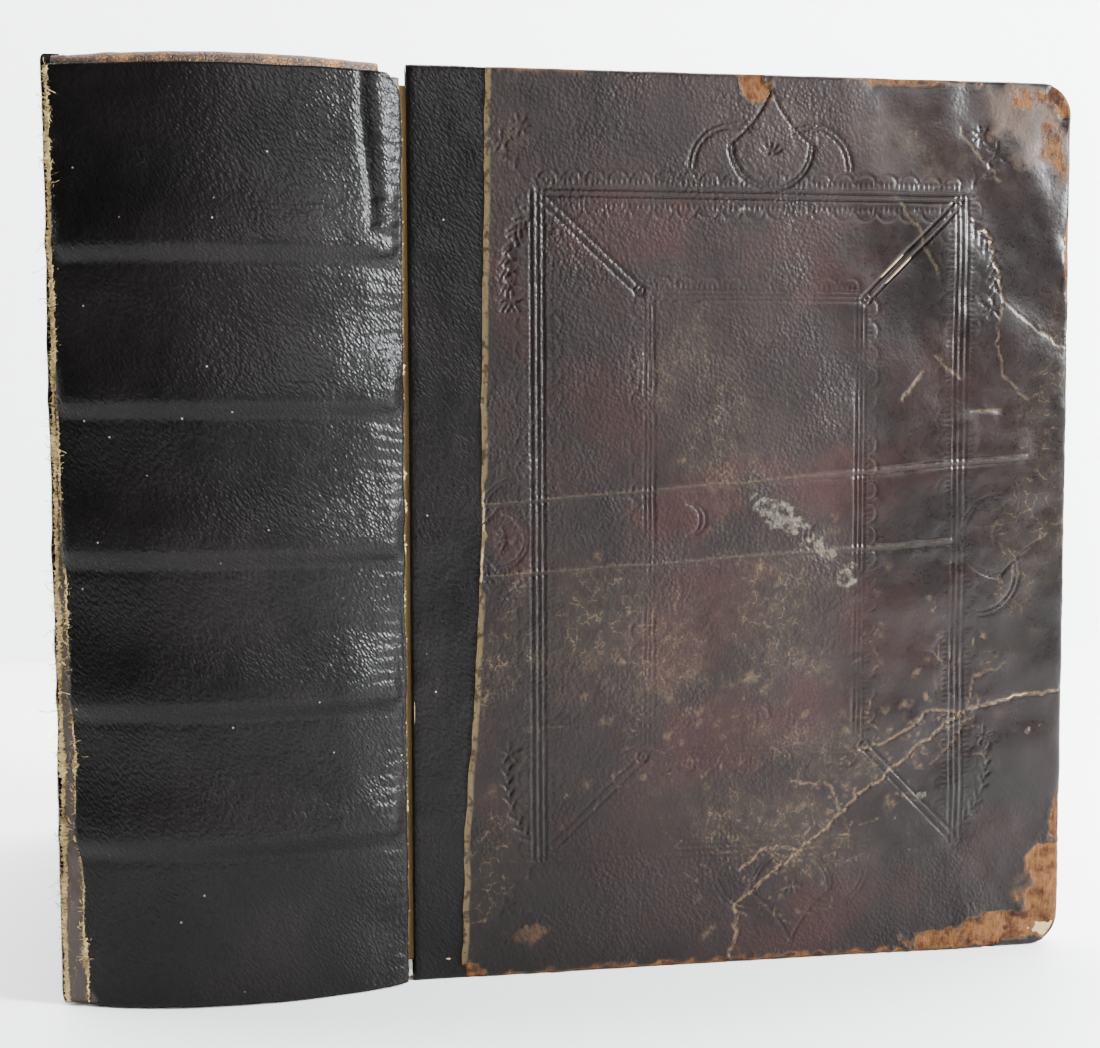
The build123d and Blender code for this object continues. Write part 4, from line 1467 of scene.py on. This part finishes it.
def fluff_grower():
    """Short bent fibres standing at random over the host's faces."""
    g = Grower("fluff", {
        "Density": ("NodeSocketFloat", 1.0), "Length": ("NodeSocketFloat", 1.0),
        "Thickness": ("NodeSocketFloat", 0.05), "Foot": ("NodeSocketFloat", 0.008),
        "Seed": ("NodeSocketInt", 1)})
    place = g.add("ShaderNodeSeparateXYZ", Vector=g.add("GeometryNodeInputPosition").outputs[0])
    lifted = g.feed_all(g.add("FunctionNodeCompare", {"data_type": "FLOAT"}), place.outputs["Z"],
                        g.start["Foot"])
    scatter = g.add("GeometryNodeDistributePointsOnFaces", Mesh=g.start["Geometry"],
                    Selection=lifted,
                    Density=g.times(g.start["Density"], 1e6), Seed=g.start["Seed"])
    length = g.times(g.start["Length"], MM)
    tip = g.add("ShaderNodeCombineXYZ", X=g.times(length, 0.45), Z=length)
    knee = g.add("ShaderNodeCombineXYZ", X=g.times(length, -0.30), Z=g.times(length, 0.6))
    bend = g.add("GeometryNodeCurveQuadraticBezier", Resolution=4, Start=(0, 0, 0), Middle=knee.outputs[0],
                 End=tip.outputs[0])
    round_off = g.add("GeometryNodeCurvePrimitiveCircle", Resolution=3,
                      Radius=g.times(g.start["Thickness"], MM / 2))
    fibre = g.add("GeometryNodeCurveToMesh", Curve=bend.outputs[0], Profile_Curve=round_off.outputs["Curve"],
                  Fill_Caps=True)
    lean = g.random((-1.1, -1.1, -3.1), (1.1, 1.1, 3.1), g.start["Seed"], True)
    turned = g.add("FunctionNodeRotateRotation", {"rotation_space": "LOCAL"},
                   Rotation=scatter.outputs["Rotation"],
                   Rotate_By=g.add("FunctionNodeEulerToRotation", Euler=lean).outputs[0])
    placed = g.add("GeometryNodeInstanceOnPoints", Points=scatter.outputs["Points"],
                   Instance=fibre.outputs[0], Rotation=turned.outputs[0],
                   Scale=g.random((0.3, 0.3, 0.3), (1.4, 1.4, 1.4), g.start["Seed"], True))
    g.finish(placed.outputs[0], TORN)
    return g


def make_fluff():
    grower = fluff_grower()
    for number, (name, density, length) in enumerate((
            ("torn_rear_joint", 1.1, 1.6), ("torn_spine_edge", 1.1, 1.3), ("torn_front_joint", 1.8, 0.5))):
        host = bpy.data.objects[name]
        for form, share, stretch, thick in (("fluff", 1.0, 1.0, 0.14), ("threads", 0.05, 2.4, 0.2)):
            if form == "threads" and name == "torn_front_joint":
                continue
            piece = grower.grow(f"{name}_{form}", host, Density=density * share, Length=length * stretch,
                                Thickness=thick, Seed=number + 3)
            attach(piece, "text_block")


# ---------------------------------------------------------------- leaves
def leaves_grower():
    """A block of leaves side by side along the round of the spine, a little uneven at their edges."""
    g = Grower("leaf_block", {
        "Count": ("NodeSocketInt", 10), "First": ("NodeSocketFloat", 0.0),
        "Pitch": ("NodeSocketFloat", 0.0004), "Per Gathering": ("NodeSocketInt", 8),
        "Gap": ("NodeSocketFloat", 0.0001), "Radius": ("NodeSocketFloat", 0.1),
        "Axis X": ("NodeSocketFloat", 0.0), "Axis Y": ("NodeSocketFloat", 0.0),
        "Width": ("NodeSocketFloat", 0.19), "Height": ("NodeSocketFloat", 0.24),
        "Foot": ("NodeSocketFloat", 0.0), "Thickness": ("NodeSocketFloat", 0.0003),
        "Unevenness": ("NodeSocketFloat", 0.0003),
        "Seed": ("NodeSocketInt", 1)})
    given = g.start
    line = g.add("GeometryNodeMeshLine", {"mode": "OFFSET"}, Count=given["Count"])
    index = g.add("GeometryNodeInputIndex").outputs[0]
    gathering = g.sum("FLOOR", g.over(index, given["Per Gathering"]))
    x = g.plus(given["First"], g.plus(g.times(index, given["Pitch"]),
                                           g.times(gathering, given["Gap"])))
    from_axis = g.minus(x, given["Axis X"])
    square = g.minus(g.sum("POWER", given["Radius"], 2.0), g.sum("POWER", from_axis, 2.0))
    y = g.minus(given["Axis Y"], g.sum("SQRT", square))
    wobble = g.random((0, -1, -1), (0, 1, 1), given["Seed"], True)
    scaled = g.add("ShaderNodeVectorMath", {"operation": "SCALE"}, Vector=wobble, Scale=given["Unevenness"])
    spot = g.add("ShaderNodeCombineXYZ", X=x, Y=y, Z=given["Foot"])
    summed = g.vector_sum("ADD", spot.outputs[0], scaled.outputs[0])
    stand = g.add("GeometryNodeSetPosition", Geometry=line.outputs[0], Position=summed)
    size = g.add("ShaderNodeCombineXYZ", X=given["Thickness"], Y=given["Width"], Z=given["Height"])
    leaf = g.add("GeometryNodeMeshCube", Size=size.outputs[0], Vertices_X=2, Vertices_Y=12, Vertices_Z=14)
    half = g.add("ShaderNodeCombineXYZ", Y=g.over(given["Width"], 2.0),
                 Z=g.over(given["Height"], 2.0))
    moved = g.add("GeometryNodeTransform", Geometry=leaf.outputs[0], Translation=half.outputs[0])
    placed = g.add("GeometryNodeInstanceOnPoints", Points=stand.outputs[0], Instance=moved.outputs[0])
    real = g.add("GeometryNodeRealizeInstances", Geometry=placed.outputs[0])
    place = g.add("GeometryNodeInputPosition").outputs[0]
    cloud = g.add("ShaderNodeTexNoise", Vector=place, Scale=22.0, Detail=1.0).outputs[0]
    pushed = g.times(g.minus(cloud, 0.5), 0.0008)
    push = g.add("ShaderNodeCombineXYZ", X=0.0, Y=pushed, Z=pushed)
    waved = g.add("GeometryNodeSetPosition", Geometry=real.outputs[0], Offset=push.outputs[0])
    g.finish(waved.outputs[0], EDGE_PAPER)
    return g


def make_text_leaves():
    first_low, _ = box_mm("gathering_02")
    _, last_high = box_mm("gathering_23")
    low, high = box_mm("gathering_12")
    per_gathering = 8
    gatherings = 22
    room = (last_high[0] - first_low[0]) / gatherings
    gap = 0.16
    pitch = (room - gap) / per_gathering
    helper = grid_piece("leaf_helper", np.zeros((2, 2, 3)) + np.arange(4).reshape(2, 2, 1), False)
    piece = leaves_grower().grow(
        "text_leaves", helper, Count=gatherings * per_gathering, First=(first_low[0] + pitch / 2) * MM,
        Pitch=pitch * MM, Per_Gathering=per_gathering, Gap=gap * MM, Radius=FOLD_RADIUS * MM,
        Axis_X=SPINE_X * MM, Axis_Y=SPINE_AXIS_Y * MM, Width=(high[1] - low[1] - 0.9) * MM,
        Height=(high[2] - low[2] - 0.8) * MM, Foot=(low[2] + 0.4) * MM, Thickness=pitch * 0.86 * MM,
        Unevenness=0.00035, Seed=7)
    drop(helper)
    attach(piece, "text_block")
    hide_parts(*[f"gathering_{n:02d}" for n in range(2, 24)])


LEAF_SHARES = {
    "front_free_endpaper": 0.50, "front_leaf_1": 0.35, "front_leaf_2": 0.24, "front_leaf_3": 0.15,
    "front_leaf_4": 0.07, "rear_free_endpaper": 0.50, "rear_leaf_1": 0.30, "rear_leaf_2": 0.15,
}
REST_OPENING = math.radians(90)


def turned_about(points, pivot, angle):
    """Turns places about an upright line, towards the front board for a positive angle."""
    x = points[..., 0] - pivot[0]
    y = points[..., 1] - pivot[1]
    c, s = np.cos(angle), np.sin(angle)
    return np.stack([pivot[0] + x * c + y * s, pivot[1] + y * c - x * s, points[..., 2]], axis=-1)


def make_leaf(node, seed, material):
    """A loose leaf that bends at its fold: flat against the block when its board is closed."""
    pivot = joint_pivot(node + "_turn")
    side = 1 if node.startswith("front") else -1
    angle = LEAF_SHARES[node] * REST_OPENING if side > 0 else 0.0
    low, high = box_mm("front_leaf_guards" if side > 0 else "rear_leaf_guards")
    root = high[1] - 0.3
    reach = {"front": 185.0, "rear": 184.4}[node.split("_")[0]]
    closed_y, z = np.meshgrid(np.concatenate([np.linspace(root, root + 16, 15),
                                              np.linspace(root + 22, pivot[1] + reach, 22)]),
                              np.linspace(low[2], high[2], 34))
    wave = 0.10 * crumpled(closed_y, z, 60, seed, 2)
    closed = np.stack([pivot[0] + wave * 0.6, closed_y, z], axis=-1)
    bend = 11.0
    direction = np.array([math.sin(angle), math.cos(angle)])
    start = pivot[:2] + direction * -0.9
    end = start + direction * (bend + 0.9)
    rest = closed.copy()
    for _ in range(60):
        along = ((rest[..., 0] - start[0]) * direction[0] + (rest[..., 1] - start[1]) * direction[1])
        along = along / np.linalg.norm(end - start)
        weight = rise(along, 0.0, 1.0)
        rest = 0.5 * rest + 0.5 * turned_about(closed, pivot, weight * angle)
    curl = 1.6 * rise(closed_y, root + 60, root + 185) ** 2 * (angle > 0)
    normal = np.array([math.cos(angle), -math.sin(angle)])
    lift = curl * patchy(z, z * 0 + seed, 160, seed + 5)
    rest[..., :2] += normal * lift[..., None]
    half_thick = np.array([*(normal * 0.14), 0.0])
    piece = tube_piece(node + "_paper", rest + half_thick, rest - half_thick)
    piece.data.materials.append(material)
    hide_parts(node)
    in_frame(start, pivot[2])
    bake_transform(piece)


def make_leaves():
    for number, node in enumerate(LEAF_SHARES):
        make_leaf(node, 11 * number + 5, END_PAPER if node.endswith("endpaper") else LEAF_PAPER)


def make_inner_joints():
    """The fold of endpaper from the shoulder to each board."""
    for side in ("front", "rear"):
        low, high = box_mm(f"{side}_inner_joint")
        pivot = joint_pivot(f"{side}_board_hinge")
        if side == "front":
            start = np.array([low[0], low[1] + 0.2])
            end = np.array([high[0] + 3.0, strip_low[1] + 6.15])
            knee = np.array([low[0] + 3.6, low[1] + 3.2])
        else:
            start = np.array([low[0] + 0.2, low[1]])
            end = np.array([low[0] + 0.1, high[1] + 3.0])
            knee = (start + end) / 2
        course = bow(start, knee, end, 15)
        run = np.gradient(course, axis=0)
        run = run / np.linalg.norm(run, axis=1)[:, None]
        normal = np.stack([-run[:, 1], run[:, 0]], axis=-1)
        around = np.concatenate([course + normal * 0.11, (course - normal * 0.11)[::-1]])
        rows = [np.column_stack([around, np.full(len(around), z)])
                for z in np.linspace(low[2], high[2], 40)]
        piece = grid_piece(f"{side}_inner_fold", np.array(rows))
        piece.data.materials.append(END_PAPER)
        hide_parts(f"{side}_inner_joint")
        in_frame(start, pivot[2])
        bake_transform(piece)


# ---------------------------------------------------------------- caps and endbands
def make_caps():
    """The head and tail caps: leather curled over the endbands, dry and crazed."""
    for node, upright in (("headcap", 1), ("tailcap", -1)):
        low, high = box_mm(node)
        edge = high[2] if upright > 0 else low[2]
        outer = SPINE_RADIUS - 1.15
        angles = np.linspace(-HALF_ANGLE + 0.012, HALF_ANGLE - 0.058, 150)
        profile = [(outer, -5.2), (outer, -3.6), (outer, -2.2), (outer - 0.1, -1.2), (outer - 0.5, -0.5),
                   (outer - 1.2, -0.1), (outer - 2.1, 0.0), (outer - 3.1, -0.15), (outer - 3.8, -0.6),
                   (outer - 4.2, -1.3), (outer - 4.25, -2.0), (outer - 3.7, -2.0), (outer - 3.5, -1.3),
                   (outer - 2.6, -0.95), (outer - 1.4, -0.95), (outer - 0.75, -1.5), (outer - 0.7, -3.6),
                   (outer - 0.7, -5.2)]
        rows = []
        for angle in angles:
            arch = -0.5 * (angle / HALF_ANGLE) ** 2
            ragged = 0.25 * float(patchy(np.array(angle * 110), np.array(0.0), 5, 170))
            shrink = 1.0 if angle > -HALF_ANGLE + 0.045 else 0.35
            ring_points = []
            for number, (radius, drop_by) in enumerate(profile):
                lip = outer + (radius - outer) * shrink
                up = edge + upright * (drop_by + (arch + ragged * 0.6) * (drop_by > -4) - 0.1)
                ring_points.append(on_round(angle, lip, up))
            rows.append(ring_points)
        piece = grid_piece(node + "_leather", np.array(rows))
        finish_piece(piece, "text_block", CRAZED, "worn_tan_leather", node)


def endband_grower():
    """Silk wound round a core: close turns of two colours along the head or tail of the folds."""
    g = Grower("endband_wraps", {
        "Count": ("NodeSocketInt", 90), "Tube": ("NodeSocketFloat", 0.0012),
        "Thread": ("NodeSocketFloat", 0.0004)})
    points = g.add("GeometryNodeResampleCurve", {"mode": "COUNT"}, Curve=g.start["Geometry"],
                   Count=g.start["Count"])
    turn = g.add("GeometryNodeCurvePrimitiveCircle", Resolution=12, Radius=g.start["Tube"])
    strand = g.add("GeometryNodeCurvePrimitiveCircle", Resolution=5, Radius=g.over(g.start["Thread"], 2.0))
    hoop = g.add("GeometryNodeCurveToMesh", Curve=turn.outputs[0], Profile_Curve=strand.outputs[0])
    tangent = g.add("GeometryNodeInputTangent")
    aligned = g.add("FunctionNodeAlignRotationToVector", {"axis": "Z"}, Vector=tangent.outputs[0])
    placed = g.add("GeometryNodeInstanceOnPoints", Points=points.outputs[0], Instance=hoop.outputs[0],
                   Rotation=aligned.outputs[0])
    g.finish(placed.outputs[0], SILK_CREAM)
    return g


def make_endbands():
    grower = endband_grower()
    for node in ("headband", "tailband"):
        low, high = box_mm(node)
        z = (low[2] + high[2]) / 2
        radius = SPINE_RADIUS - 3.5
        angles = np.linspace(-HALF_ANGLE + 0.075, HALF_ANGLE - 0.075, 40)
        curve = bpy.data.curves.new(node + "_path", "CURVE")
        curve.dimensions = "3D"
        spline = curve.splines.new("POLY")
        spline.points.add(len(angles) - 1)
        for point, angle in zip(spline.points, angles):
            point.co = (*(on_round(angle, radius, z) * MM), 1)
        helper = show(node + "_path", curve)
        piece = grower.grow(node + "_silk", helper, Count=150, Tube=0.00098, Thread=0.00046)
        bpy.data.objects.remove(helper)
        bpy.data.curves.remove(curve)
        piece.data.materials.append(SILK_TAN)
        hoops = 60
        indices = (np.arange(len(piece.data.polygons)) // hoops // 3) % 3 == 0
        piece.data.polygons.foreach_set("material_index", indices.astype(int))
        piece.data.polygons.foreach_set("use_smooth", [True] * len(piece.data.polygons))
        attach(piece, "text_block")


# ---------------------------------------------------------------- the carried-over solids
def dress(nodes, material):
    for name in nodes:
        data = frame["nodes"][name].data
        data.materials.clear()
        data.materials.append(material)


def dress_solids():
    dress(("gathering_01", "gathering_24"), EDGE_PAPER)
    dress(("front_leaf_guards", "rear_leaf_guards", "spine_lining"), LEAF_PAPER)
    dress(("front_pastedown", "rear_pastedown"), END_PAPER)
    dress(("front_board_core", "rear_board_core"), PASTEBOARD)
    dress([f"sewing_cord_{n}" for n in range(1, 6)] + ["front_cord_slips", "rear_cord_slips"], HEMP)
    dress(("kettle_stitches",), LINEN)
    dress(("headband", "tailband"), SILK_TAN)


aim_camera()
light_room()
lay_ground()
make_covers()
make_spine()
make_old_shoulders()
make_torn_edges()
make_fluff()
make_text_leaves()
make_leaves()
make_inner_joints()
make_caps()
make_endbands()
dress_solids()
